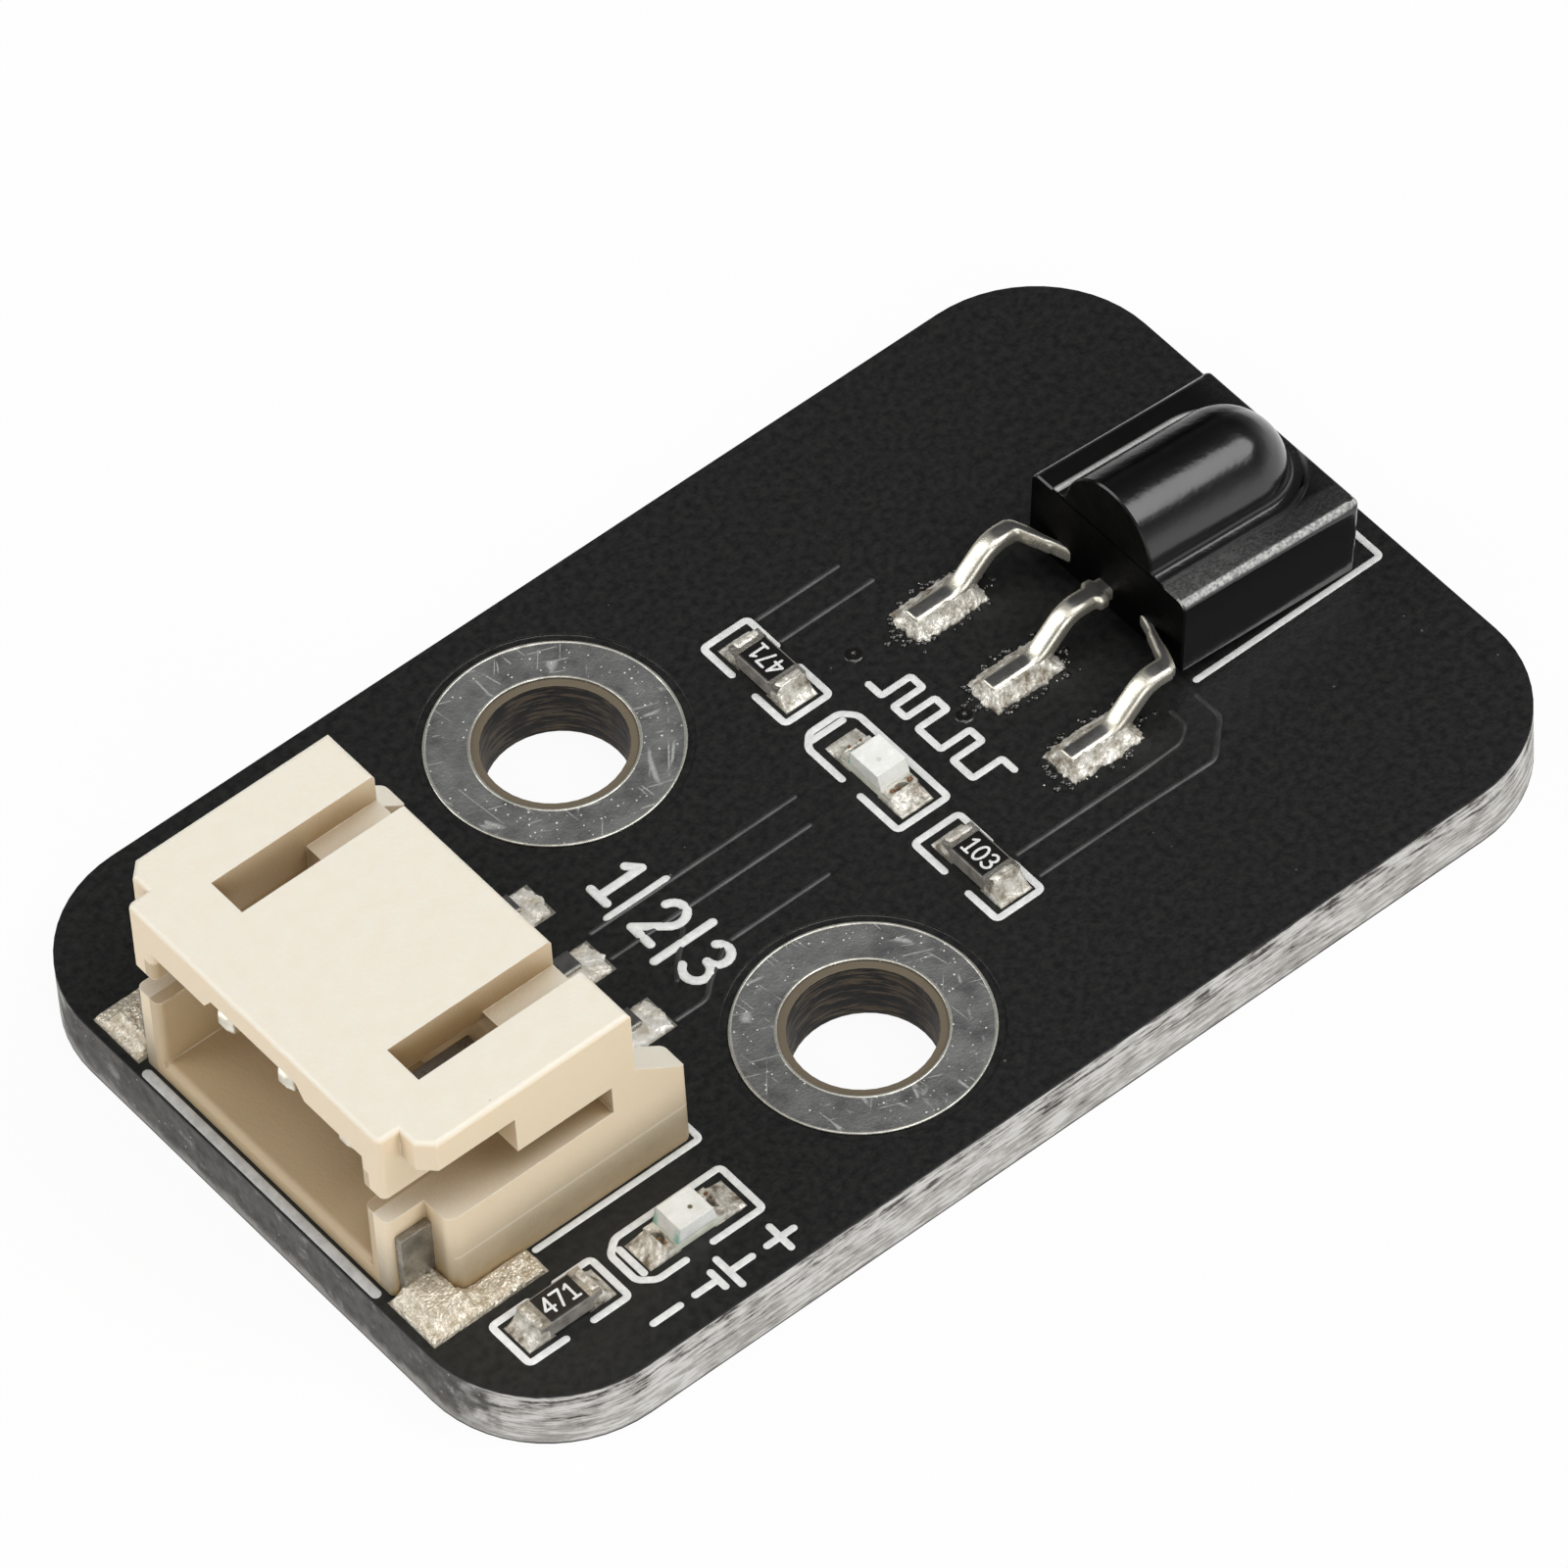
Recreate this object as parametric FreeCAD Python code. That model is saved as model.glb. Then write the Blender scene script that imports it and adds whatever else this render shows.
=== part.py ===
import FreeCAD, Part
import math
import os

# Infrared receiver module: a board with a three-way side-entry socket, an infrared receiver
# on formed leads, two lamps and three resistors.
# Frame, in mm: the origin is the centre of the board's underside, +X runs from the socket to
# the receiver, +Y is left when looking along +X, and +Z is up.

# Circuit board
BOARD_LENGTH = 28.9
BOARD_WIDTH = 17.78
BOARD_THICKNESS = 1.6
BOARD_CORNER_RADIUS = 3.175
LAND_THICKNESS = 0.05

# Fixing holes and their tinned rings, placed from the board's socket edge
HOLE_DIAMETER = 3.2
HOLE_PITCH = 10.16
HOLE_SETBACK = 12.05
RING_INNER_DIAMETER = 3.6
RING_OUTER_DIAMETER = 5.58
RING_GROOVE = 0.2

# Socket housing: heights are above the board, setbacks are from the board's socket edge
SOCKET_SETBACK = 0.38
SOCKET_DEPTH = 5.92
SOCKET_WIDTH = 9.9
SOCKET_HEIGHT = 5.15
NOSE_WIDTH = 8.28
WING_SETBACK = 0.55
WING_CHAMFER = 0.33
NOSE_WALL = 0.73
CAVITY_DEPTH = 4.07
FLOOR_THICKNESS = 0.5
LEDGE_HEIGHT = 2.45
SLIT_HEIGHT = 0.8
SLIT_LENGTH = 5.3
WING_THICKNESS = 0.85
WING_LENGTH = 2.3
ROOF_THICKNESS = 1.0
ROOF_CHANNEL_WIDTH = 3.3
ROOF_CHANNEL_DEPTH = 0.35
ROOF_CHANNEL_SLOPE = 0.25
TOP_SLOT_SETBACK = 1.65
TOP_SLOT_WIDTH = 1.03
TOP_SLOT_FLOOR_DEPTH = 0.8
REAR_FOOT_LENGTH = 1.3
REAR_FOOT_WIDTH = 0.72
REAR_FOOT_TOP = 3.35
REAR_FOOT_DROP = 1.0
FLOOR_EDGE_RADIUS = 0.18
NOSE_CORNER_RADIUS = 0.16
TOP_EDGE_RADIUS = 0.12
REAR_FOOT_RADIUS = 0.18
LEDGE_CORNER_RADIUS = 0.25

# Socket contacts
CONTACT_COUNT = 3
CONTACT_PITCH = 2.0
CONTACT_SIZE = 0.5
CONTACT_HEIGHT = 2.75
CONTACT_TIP_INSET = 0.6
CONTACT_TIP_CHAMFER = 0.12
CONTACT_DROP_GAP = 0.2
CONTACT_FOOT_LENGTH = 1.75
CONTACT_BEND_RADIUS = 0.4
CONTACT_LAND_LENGTH = 2.45
CONTACT_LAND_WIDTH = 1.0
CONTACT_LAND_OVERHANG = 0.7

# Socket anchors
ANCHOR_THICKNESS = 0.2
ANCHOR_INSET = 0.17
ANCHOR_LENGTH = 0.8
ANCHOR_HEIGHT = 1.9
ANCHOR_FOOT_REACH = 1.1
ANCHOR_BEND_RADIUS = 0.25
ANCHOR_TAIL_LENGTH = 1.5
ANCHOR_TAIL_HEIGHT = 1.2
ANCHOR_TAIL_LIFT = 0.5
ANCHOR_LAND_LENGTH = 3.0
ANCHOR_LAND_WIDTH = 1.55
ANCHOR_LAND_INSET = 0.2

# Receiver moulding, in its own tilted frame: it leans back on its rear lower edge
RECEIVER_TILT = 5.0
RECEIVER_REAR_SETBACK = 27.78
RECEIVER_LENGTH = 4.88
RECEIVER_WIDTH = 5.0
RECEIVER_THICKNESS = 2.05
RECEIVER_EDGE_RADIUS = 0.25
RECEIVER_SIDE_RADIUS = 0.15
DOME_RADIUS = 1.4
DOME_FILLET_RADIUS = 0.2
DOME_END_INSET = 0.1

# Receiver leads
LEAD_PITCH = 2.54
LEAD_THICKNESS = 0.38
LEAD_WIDTH = 0.5
LEAD_LEVEL = 0.5
LEAD_FOOT_START = 19.7
LEAD_FOOT_LENGTH = 1.3
LEAD_RISE_ANGLE = 42.0
LEAD_LOWER_BEND_RADIUS = 0.7
LEAD_UPPER_BEND_RADIUS = 0.9
LEAD_STUB_WIDTH = 0.12
LEAD_STUB_LENGTH = 0.25
LEAD_STUB_GAP = 0.1
LEAD_JOG_GAP = 0.4
LEAD_JOG_INNER = 1.0
LEAD_JOG_RUN = 0.5
LEAD_BURIED_LENGTH = 1.2
PADDLE_START = 0.9
PADDLE_LENGTH = 3.0
PADDLE_WIDTH = 2.2
RECEIVER_LAND_LENGTH = 1.9
RECEIVER_LAND_WIDTH = 1.0
RECEIVER_LAND_LEAD_IN = 0.18

# Chips on the paddle of the middle lead
PHOTODIODE_SIZE = 1.3
PHOTODIODE_THICKNESS = 0.25
AMPLIFIER_LENGTH = 0.8
AMPLIFIER_WIDTH = 1.0
AMPLIFIER_THICKNESS = 0.25
DIE_GAP = 0.2

# Resistors and lamps share one body size in plan
CHIP_LENGTH = 1.6
CHIP_WIDTH = 0.8
CHIP_LAND_INNER = 0.9
CHIP_LAND_WIDTH = 0.86
RESISTOR_HEIGHT = 0.45
RESISTOR_CAP_LENGTH = 0.3
RESISTOR_CAP_THICKNESS = 0.03
RESISTOR_COAT_MARGIN = 0.04
RESISTOR_COAT_THICKNESS = 0.025
RESISTOR_LAND_SPAN = 2.3
LAMP_BASE_HEIGHT = 0.22
LAMP_HEIGHT = 0.62
LAMP_TERMINAL_LENGTH = 0.24
LAMP_TERMINAL_THICKNESS = 0.03
LAMP_NOTCH_RADIUS = 0.2
LAMP_LENS_LENGTH = 1.08
LAMP_LENS_TAPER = 0.1
LAMP_CHIP_SIZE = 0.28
LAMP_CHIP_HEIGHT = 0.12
LAMP_LAND_SPAN = 2.56

# Places of the chips: setback from the socket edge, distance from the middle line or from the
# board's right edge, turn
SIGNAL_SIDE_SETBACK = 16.63
RESISTOR_1_OFFSET = 3.58
SIGNAL_LED_OFFSET = -0.1
RESISTOR_2_OFFSET = -3.44
POWER_SIDE_INSET = 2.24
RESISTOR_3_SETBACK = 2.72
POWER_LED_SETBACK = 6.03
ACROSS_BOARD = 90.0
ALONG_BOARD = 0.0

# Solder
JOINT_HEIGHT = 0.3
JOINT_TAPER = 0.16
JOINT_CORNER_CUT = 0.2
FILLET_HEIGHT = 0.36
FILLET_SAG = 0.3

# Worked-out places
BOARD_TOP = BOARD_THICKNESS
EDGE_X = -BOARD_LENGTH / 2
SOCKET_FRONT = EDGE_X + SOCKET_SETBACK
SOCKET_REAR = SOCKET_FRONT + SOCKET_DEPTH
SOCKET_TOP = BOARD_TOP + SOCKET_HEIGHT
NOSE_HALF = NOSE_WIDTH / 2
SOCKET_HALF = SOCKET_WIDTH / 2
CAVITY_HALF = NOSE_HALF - NOSE_WALL
CAVITY_BACK = SOCKET_FRONT + CAVITY_DEPTH
LEDGE_Z = BOARD_TOP + LEDGE_HEIGHT
ROOF_Z = SOCKET_TOP - ROOF_THICKNESS
ANCHOR_START = SOCKET_FRONT + ANCHOR_INSET
ANCHOR_END = ANCHOR_START + ANCHOR_LENGTH
CONTACT_DROP_X = SOCKET_REAR + CONTACT_DROP_GAP + CONTACT_SIZE / 2
CONTACT_FOOT_END = CONTACT_DROP_X + CONTACT_FOOT_LENGTH
CONTACT_LAND_END = CONTACT_FOOT_END + CONTACT_LAND_OVERHANG
TILT = math.radians(RECEIVER_TILT)
RECEIVER_REAR = EDGE_X + RECEIVER_REAR_SETBACK
RECEIVER_FRONT = RECEIVER_REAR - RECEIVER_LENGTH * math.cos(TILT)
RECEIVER_LIFT = RECEIVER_LENGTH * math.sin(TILT)
DOME_REACH = math.sqrt((DOME_RADIUS + DOME_FILLET_RADIUS) ** 2 - DOME_FILLET_RADIUS ** 2)
DOME_STRAIGHT = RECEIVER_LENGTH - DOME_END_INSET - DOME_REACH
LEAD_FOOT_X = EDGE_X + LEAD_FOOT_START
POWER_SIDE_Y = POWER_SIDE_INSET - BOARD_WIDTH / 2
CUT_OVERRUN = 0.5


def box(x0, x1, y0, y1, z0, z1):
    """Box between two corners."""
    return Part.makeBox(x1 - x0, y1 - y0, z1 - z0, FreeCAD.Vector(x0, y0, z0))


def plan_prism(points, z0, z1):
    """Outline in plan, raised from z0 to z1."""
    corners = [FreeCAD.Vector(x, y, z0) for x, y in points]
    wire = Part.makePolygon(corners + corners[:1])
    return Part.Face(wire).extrude(FreeCAD.Vector(0, 0, z1 - z0))


def side_prism(points, y0, y1):
    """Outline in the XZ plane, drawn out from y0 to y1."""
    corners = [FreeCAD.Vector(x, y0, z) for x, z in points]
    wire = Part.makePolygon(corners + corners[:1])
    return Part.Face(wire).extrude(FreeCAD.Vector(0, y1 - y0, 0))


def front_prism(points, x0, x1):
    """Outline in the YZ plane, drawn out from x0 to x1."""
    corners = [FreeCAD.Vector(x0, y, z) for y, z in points]
    wire = Part.makePolygon(corners + corners[:1])
    return Part.Face(wire).extrude(FreeCAD.Vector(x1 - x0, 0, 0))


def both_sides(points):
    """Closed outline across the part from the left half of a shape."""
    return points + [(-y, z) for y, z in reversed(points)]


def both_halves(points):
    """Closed outline from the left half of a shape that is the same on both sides."""
    return points + [(x, -y) for x, y in reversed(points)]


def mirrored(shape):
    """The same shape on the other side of the middle line."""
    return shape.mirror(FreeCAD.Vector(0, 0, 0), FreeCAD.Vector(0, 1, 0))


def left_and_right(shape):
    """A shape and its mirror image."""
    return [shape, mirrored(shape)]


def clean(shape):
    """One plain solid, with split faces joined."""
    tidy = shape.removeSplitter()
    return tidy.Solids[0] if len(tidy.Solids) == 1 else tidy


def round_edges(shape, radius, wanted):
    """Round each edge for which wanted(edge) is true."""
    edges = [edge for edge in shape.Edges if wanted(edge)]
    return shape.makeFillet(radius, edges)


def is_line_at(edge, x=None, y=None, z=None):
    """True where a straight edge keeps each coordinate that is given."""
    if not isinstance(edge.Curve, Part.Line):
        return False
    for vertex in edge.Vertexes:
        for have, want in ((vertex.X, x), (abs(vertex.Y), y), (vertex.Z, z)):
            if want is not None and abs(have - want) > 1e-6:
                return False
    return True


def is_upright_at(edge, x, y):
    """True for an upright straight edge at one of two mirrored places."""
    return is_line_at(edge, x=x, y=y) and edge.Vertexes[0].Y == edge.Vertexes[1].Y


def is_level_at(edge, z):
    """True for any edge, straight or round, that lies at one height."""
    return all(abs(vertex.Z - z) < 1e-6 for vertex in edge.Vertexes)


def turned(vector, angle):
    """A plane vector turned by an angle in radians."""
    u, v = vector
    return (u * math.cos(angle) - v * math.sin(angle), u * math.sin(angle) + v * math.cos(angle))


def strip_side(corners, radii, shift):
    """Points of one side of a bent strip: straight ends, and three points on each bend."""
    pieces = []
    heading = None
    for index in range(1, len(corners)):
        (u0, v0), (u1, v1) = corners[index - 1], corners[index]
        angle = math.atan2(v1 - v0, u1 - u0)
        if heading is None:
            pieces.append([(u0 - shift * math.sin(angle), v0 + shift * math.cos(angle))])
        else:
            bend = math.remainder(angle - heading, math.tau)
            side = math.copysign(1.0, bend)
            radius = radii[index - 2]
            back = radius * math.tan(abs(bend) / 2)
            start = (u0 - back * math.cos(heading), v0 - back * math.sin(heading))
            normal = (-math.sin(heading), math.cos(heading))
            centre = (start[0] + side * radius * normal[0], start[1] + side * radius * normal[1])
            arm = (start[0] + shift * normal[0] - centre[0], start[1] + shift * normal[1] - centre[1])
            arc = [turned(arm, bend * share) for share in (0.0, 0.5, 1.0)]
            pieces.append([(centre[0] + a, centre[1] + b) for a, b in arc])
        heading = angle
    (u1, v1) = corners[-1]
    pieces.append([(u1 - shift * math.sin(heading), v1 + shift * math.cos(heading))])
    return pieces


def bent_strip(corners, radii, thickness, place):
    """Face of a strip of even thickness along a path with a round bend at each corner.

    The corners are on the strip's middle line, and place turns plane points into space.
    """
    near = strip_side(corners, radii, thickness / 2)
    far = [piece[::-1] for piece in reversed(strip_side(corners, radii, -thickness / 2))]
    edges = []
    last = None
    for piece in near + far + near[:1]:
        points = [place(u, v) for u, v in piece]
        if last is not None:
            edges.append(Part.makeLine(last, points[0]))
        if len(points) == 3:
            edges.append(Part.Arc(points[0], points[1], points[2]).toShape())
        last = points[-1]
    return Part.Face(Part.Wire(edges))


def fixing_hole_places():
    """Centre of the left and of the right fixing hole."""
    x = EDGE_X + HOLE_SETBACK
    return [(x, HOLE_PITCH / 2), (x, -HOLE_PITCH / 2)]


def disc(x, y, radius, z0, z1):
    """Upright cylinder."""
    return Part.makeCylinder(radius, z1 - z0, FreeCAD.Vector(x, y, z0))


def mounting_rings(x, y):
    """Tinned rings on the upper and lower face round one hole."""
    rings = []
    for z0, z1 in ((BOARD_TOP - LAND_THICKNESS, BOARD_TOP), (0.0, LAND_THICKNESS)):
        ring = disc(x, y, RING_OUTER_DIAMETER / 2, z0, z1)
        rings.append(ring.cut(disc(x, y, RING_INNER_DIAMETER / 2, z0, z1)))
    return Part.makeCompound(rings)


def land(x0, x1, y0, y1):
    """Tinned land let into the board's upper face."""
    return box(x0, x1, y0, y1, BOARD_TOP - LAND_THICKNESS, BOARD_TOP)


def contact_offsets():
    """Distance of each contact from the middle line, from left to right."""
    middle = (CONTACT_COUNT - 1) / 2
    return [(middle - index) * CONTACT_PITCH for index in range(CONTACT_COUNT)]


def lead_offsets():
    """Distance of the left, middle and right lead from the middle line."""
    return [LEAD_PITCH, 0.0, -LEAD_PITCH]


def contact_lands():
    """Lands under the contact feet."""
    half = CONTACT_LAND_WIDTH / 2
    start = CONTACT_LAND_END - CONTACT_LAND_LENGTH
    return [land(start, CONTACT_LAND_END, y - half, y + half) for y in contact_offsets()]


def anchor_lands():
    """Lands under the socket's anchors."""
    start = EDGE_X + ANCHOR_LAND_INSET
    left = land(start, start + ANCHOR_LAND_LENGTH, NOSE_HALF, NOSE_HALF + ANCHOR_LAND_WIDTH)
    return left_and_right(left)


def receiver_lands():
    """Lands under the receiver's feet."""
    half = RECEIVER_LAND_WIDTH / 2
    start = LEAD_FOOT_X - RECEIVER_LAND_LEAD_IN
    return [land(start, start + RECEIVER_LAND_LENGTH, y - half, y + half) for y in lead_offsets()]


def chip_places():
    """Name, setback, offset, turn and land span of each chip."""
    return [
        ("resistor_1", SIGNAL_SIDE_SETBACK, RESISTOR_1_OFFSET, ACROSS_BOARD, RESISTOR_LAND_SPAN),
        ("signal_led", SIGNAL_SIDE_SETBACK, SIGNAL_LED_OFFSET, ACROSS_BOARD, LAMP_LAND_SPAN),
        ("resistor_2", SIGNAL_SIDE_SETBACK, RESISTOR_2_OFFSET, ACROSS_BOARD, RESISTOR_LAND_SPAN),
        ("resistor_3", RESISTOR_3_SETBACK, POWER_SIDE_Y, ALONG_BOARD, RESISTOR_LAND_SPAN),
        ("power_led", POWER_LED_SETBACK, POWER_SIDE_Y, ALONG_BOARD, LAMP_LAND_SPAN),
    ]


def seated(shape, setback, offset, turn):
    """Put a chip, drawn round the origin, in its place on the board."""
    placed = shape.copy()
    placed.rotate(FreeCAD.Vector(0, 0, 0), FreeCAD.Vector(0, 0, 1), turn)
    placed.translate(FreeCAD.Vector(EDGE_X + setback, offset, BOARD_TOP))
    return placed


def chip_lands():
    """A pair of lands under each chip."""
    lands = []
    half = CHIP_LAND_WIDTH / 2
    for _, setback, offset, turn, span in chip_places():
        for x0, x1 in ((CHIP_LAND_INNER / 2, span / 2), (-span / 2, -CHIP_LAND_INNER / 2)):
            flat = box(x0, x1, -half, half, -LAND_THICKNESS, 0.0)
            lands.append(seated(flat, setback, offset, turn))
    return lands


def circuit_board(lands):
    """Board with round corners, fixing holes and shallow recesses for rings and lands."""
    blank = box(EDGE_X, -EDGE_X, -BOARD_WIDTH / 2, BOARD_WIDTH / 2, 0.0, BOARD_THICKNESS)
    board = round_edges(blank, BOARD_CORNER_RADIUS,
                        lambda edge: is_upright_at(edge, EDGE_X, BOARD_WIDTH / 2)
                        or is_upright_at(edge, -EDGE_X, BOARD_WIDTH / 2))
    recess = RING_OUTER_DIAMETER / 2 + RING_GROOVE
    for x, y in fixing_hole_places():
        board = board.cut(disc(x, y, HOLE_DIAMETER / 2, 0.0, BOARD_THICKNESS))
        board = board.cut(disc(x, y, recess, BOARD_TOP - LAND_THICKNESS, BOARD_TOP))
        board = board.cut(disc(x, y, recess, 0.0, LAND_THICKNESS))
    return board.cut(Part.makeCompound(lands))


def socket_contact(offset):
    """Square pin through the socket's rear wall, bent down and out to a foot on its land."""
    half = CONTACT_SIZE / 2
    tip = SOCKET_FRONT + CONTACT_TIP_INSET
    level = BOARD_TOP + CONTACT_HEIGHT
    corners = [(tip, level), (CONTACT_DROP_X, level), (CONTACT_DROP_X, BOARD_TOP + half),
               (CONTACT_FOOT_END, BOARD_TOP + half)]
    radii = [CONTACT_BEND_RADIUS, CONTACT_BEND_RADIUS]
    profile = bent_strip(corners, radii, CONTACT_SIZE,
                         lambda u, v: FreeCAD.Vector(u, offset - half, v))
    pin = profile.extrude(FreeCAD.Vector(0, CONTACT_SIZE, 0))
    tip_edges = [edge for edge in pin.Edges if is_line_at(edge, x=tip)]
    return pin.makeChamfer(CONTACT_TIP_CHAMFER, tip_edges)


def anchor_tail():
    """Part of the left anchor that is pressed into the housing."""
    z0 = BOARD_TOP + ANCHOR_TAIL_LIFT
    return box(ANCHOR_END, ANCHOR_END + ANCHOR_TAIL_LENGTH, NOSE_HALF, NOSE_HALF + ANCHOR_THICKNESS,
               z0, z0 + ANCHOR_TAIL_HEIGHT)


def socket_anchor():
    """Left anchor: an upright tab beside the nose, with a foot bent out on its land."""
    middle = NOSE_HALF + ANCHOR_THICKNESS / 2
    foot = BOARD_TOP + ANCHOR_THICKNESS / 2
    corners = [(middle, BOARD_TOP + ANCHOR_HEIGHT), (middle, foot),
               (NOSE_HALF + ANCHOR_FOOT_REACH, foot)]
    profile = bent_strip(corners, [ANCHOR_BEND_RADIUS], ANCHOR_THICKNESS,
                         lambda u, v: FreeCAD.Vector(ANCHOR_START, u, v))
    tab = profile.extrude(FreeCAD.Vector(ANCHOR_LENGTH, 0, 0))
    return clean(tab.fuse(anchor_tail()))


def housing_blank():
    """Housing outline before the cavity: the lower part gives way to the anchors."""
    wing = SOCKET_FRONT + WING_SETBACK
    lower = both_halves([(SOCKET_FRONT, NOSE_HALF), (ANCHOR_END, NOSE_HALF), (ANCHOR_END, SOCKET_HALF),
                         (SOCKET_REAR, SOCKET_HALF)])
    upper = both_halves([(SOCKET_FRONT, NOSE_HALF), (wing, NOSE_HALF),
                         (wing, SOCKET_HALF - WING_CHAMFER), (wing + WING_CHAMFER, SOCKET_HALF),
                         (SOCKET_REAR, SOCKET_HALF)])
    base = plan_prism(lower, BOARD_TOP, LEDGE_Z)
    base = round_edges(base, LEDGE_CORNER_RADIUS,
                       lambda edge: is_upright_at(edge, ANCHOR_END, SOCKET_HALF))
    base = round_edges(base, NOSE_CORNER_RADIUS,
                       lambda edge: is_upright_at(edge, SOCKET_FRONT, NOSE_HALF))
    cap = plan_prism(upper, LEDGE_Z, SOCKET_TOP)
    cap = round_edges(cap, NOSE_CORNER_RADIUS,
                      lambda edge: is_upright_at(edge, SOCKET_FRONT, NOSE_HALF))
    cap = round_edges(cap, TOP_EDGE_RADIUS, lambda edge: is_level_at(edge, SOCKET_TOP))
    blank = base.fuse(cap)
    foot_end = SOCKET_REAR + REAR_FOOT_LENGTH
    foot_top = BOARD_TOP + REAR_FOOT_TOP
    foot = side_prism([(SOCKET_REAR, BOARD_TOP), (foot_end, BOARD_TOP),
                       (foot_end, foot_top - REAR_FOOT_DROP), (SOCKET_REAR, foot_top)],
                      SOCKET_HALF - REAR_FOOT_WIDTH, SOCKET_HALF)
    foot = round_edges(foot, REAR_FOOT_RADIUS, lambda edge: is_line_at(edge, x=foot_end))
    for one in left_and_right(foot):
        blank = blank.fuse(one)
    return clean(blank)


def housing_hollows():
    """Everything that is open in the housing, as solids to cut away."""
    front = SOCKET_FRONT - CUT_OVERRUN
    outside = SOCKET_HALF + CUT_OVERRUN
    above = SOCKET_TOP + CUT_OVERRUN
    channel = ROOF_CHANNEL_WIDTH / 2
    channel_roof = ROOF_Z + ROOF_CHANNEL_DEPTH
    cavity = box(front, CAVITY_BACK, -CAVITY_HALF, CAVITY_HALF, BOARD_TOP + FLOOR_THICKNESS, ROOF_Z)
    groove = front_prism(both_sides([(channel, ROOF_Z), (channel - ROOF_CHANNEL_SLOPE, channel_roof)]),
                         front, CAVITY_BACK)
    slit = box(front, SOCKET_FRONT + SLIT_LENGTH, CAVITY_HALF, outside, LEDGE_Z, LEDGE_Z + SLIT_HEIGHT)
    under_wing = box(front, SOCKET_FRONT + WING_SETBACK + WING_LENGTH, NOSE_HALF, outside,
                     LEDGE_Z, SOCKET_TOP - WING_THICKNESS)
    slot_start = SOCKET_FRONT + TOP_SLOT_SETBACK
    slot_inner = CAVITY_HALF - TOP_SLOT_WIDTH
    deep_slot = box(slot_start, CAVITY_BACK, slot_inner, CAVITY_HALF, ROOF_Z, above)
    rear_slot = box(CAVITY_BACK, SOCKET_REAR, slot_inner, CAVITY_HALF,
                    SOCKET_TOP - TOP_SLOT_FLOOR_DEPTH, above)
    hollows = [cavity, groove]
    for side_hollow in (slit, under_wing, deep_slot, rear_slot, anchor_tail()):
        hollows.extend(left_and_right(side_hollow))
    return hollows


def mouth_corner(z0, z1):
    """What is taken off the left wall's inner corner to round it at the cavity's mouth."""
    radius = NOSE_CORNER_RADIUS
    square = box(SOCKET_FRONT - radius, SOCKET_FRONT + radius,
                 CAVITY_HALF - radius, CAVITY_HALF + radius, z0, z1)
    return square.cut(disc(SOCKET_FRONT + radius, CAVITY_HALF + radius, radius, z0, z1))


def socket_housing(contacts):
    """Moulded housing, open to the front, with its contacts' holes."""
    housing = housing_blank()
    for hollow in housing_hollows() + contacts:
        housing = housing.cut(hollow)
    floor = BOARD_TOP + FLOOR_THICKNESS
    housing = round_edges(clean(housing), FLOOR_EDGE_RADIUS,
                          lambda edge: is_line_at(edge, x=SOCKET_FRONT, z=floor))
    for corner in left_and_right(mouth_corner(floor, ROOF_Z)):
        housing = housing.cut(corner)
    return housing


def tilted(shape):
    """Turn a shape from the receiver's own frame to its place above the board.

    In its own frame the front lower edge is at x = 0 and z = 0, and the body runs to +X.
    """
    placed = shape.copy()
    placed.rotate(FreeCAD.Vector(0, 0, 0), FreeCAD.Vector(0, 1, 0), RECEIVER_TILT)
    placed.translate(FreeCAD.Vector(RECEIVER_FRONT, 0, BOARD_TOP + RECEIVER_LIFT))
    return placed


def dome_half(x):
    """Face of the dome's left half section at x: a half-round with a hollow fillet at its foot."""
    rise = math.atan2(DOME_FILLET_RADIUS, DOME_REACH)
    upright = math.radians(90.0)

    def point(y, z, radius, angle):
        return FreeCAD.Vector(x, y + radius * math.cos(angle),
                              RECEIVER_THICKNESS + z + radius * math.sin(angle))

    root = point(0.0, 0.0, 0.0, 0.0)
    foot = point(DOME_REACH, 0.0, 0.0, 0.0)
    hollow = point(DOME_REACH, DOME_FILLET_RADIUS, DOME_FILLET_RADIUS, (rise - 3 * upright) / 2)
    shoulder = point(0.0, 0.0, DOME_RADIUS, rise)
    flank = point(0.0, 0.0, DOME_RADIUS, (rise + upright) / 2)
    crown = point(0.0, 0.0, DOME_RADIUS, upright)
    edges = [Part.makeLine(root, foot), Part.Arc(foot, hollow, shoulder).toShape(),
             Part.Arc(shoulder, flank, crown).toShape(), Part.makeLine(crown, root)]
    return Part.Face(Part.Wire(edges))


def receiver_blank():
    """Moulding with the half-round dome that ends in a quarter ball, in its own frame."""
    half = RECEIVER_WIDTH / 2
    block = box(0.0, RECEIVER_LENGTH, -half, half, 0.0, RECEIVER_THICKNESS)
    block = round_edges(block, RECEIVER_SIDE_RADIUS,
                        lambda edge: is_upright_at(edge, 0.0, half)
                        or is_upright_at(edge, RECEIVER_LENGTH, half))
    block = round_edges(block, RECEIVER_EDGE_RADIUS,
                        lambda edge: is_line_at(edge, y=half, z=RECEIVER_THICKNESS))
    barrel = dome_half(0.0).extrude(FreeCAD.Vector(DOME_STRAIGHT, 0, 0))
    hub = FreeCAD.Vector(DOME_STRAIGHT, 0, 0)
    round_end = dome_half(DOME_STRAIGHT).revolve(hub, FreeCAD.Vector(0, 0, 1), -180.0)
    for piece in left_and_right(barrel) + [round_end]:
        block = block.fuse(piece)
    return clean(block)


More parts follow.
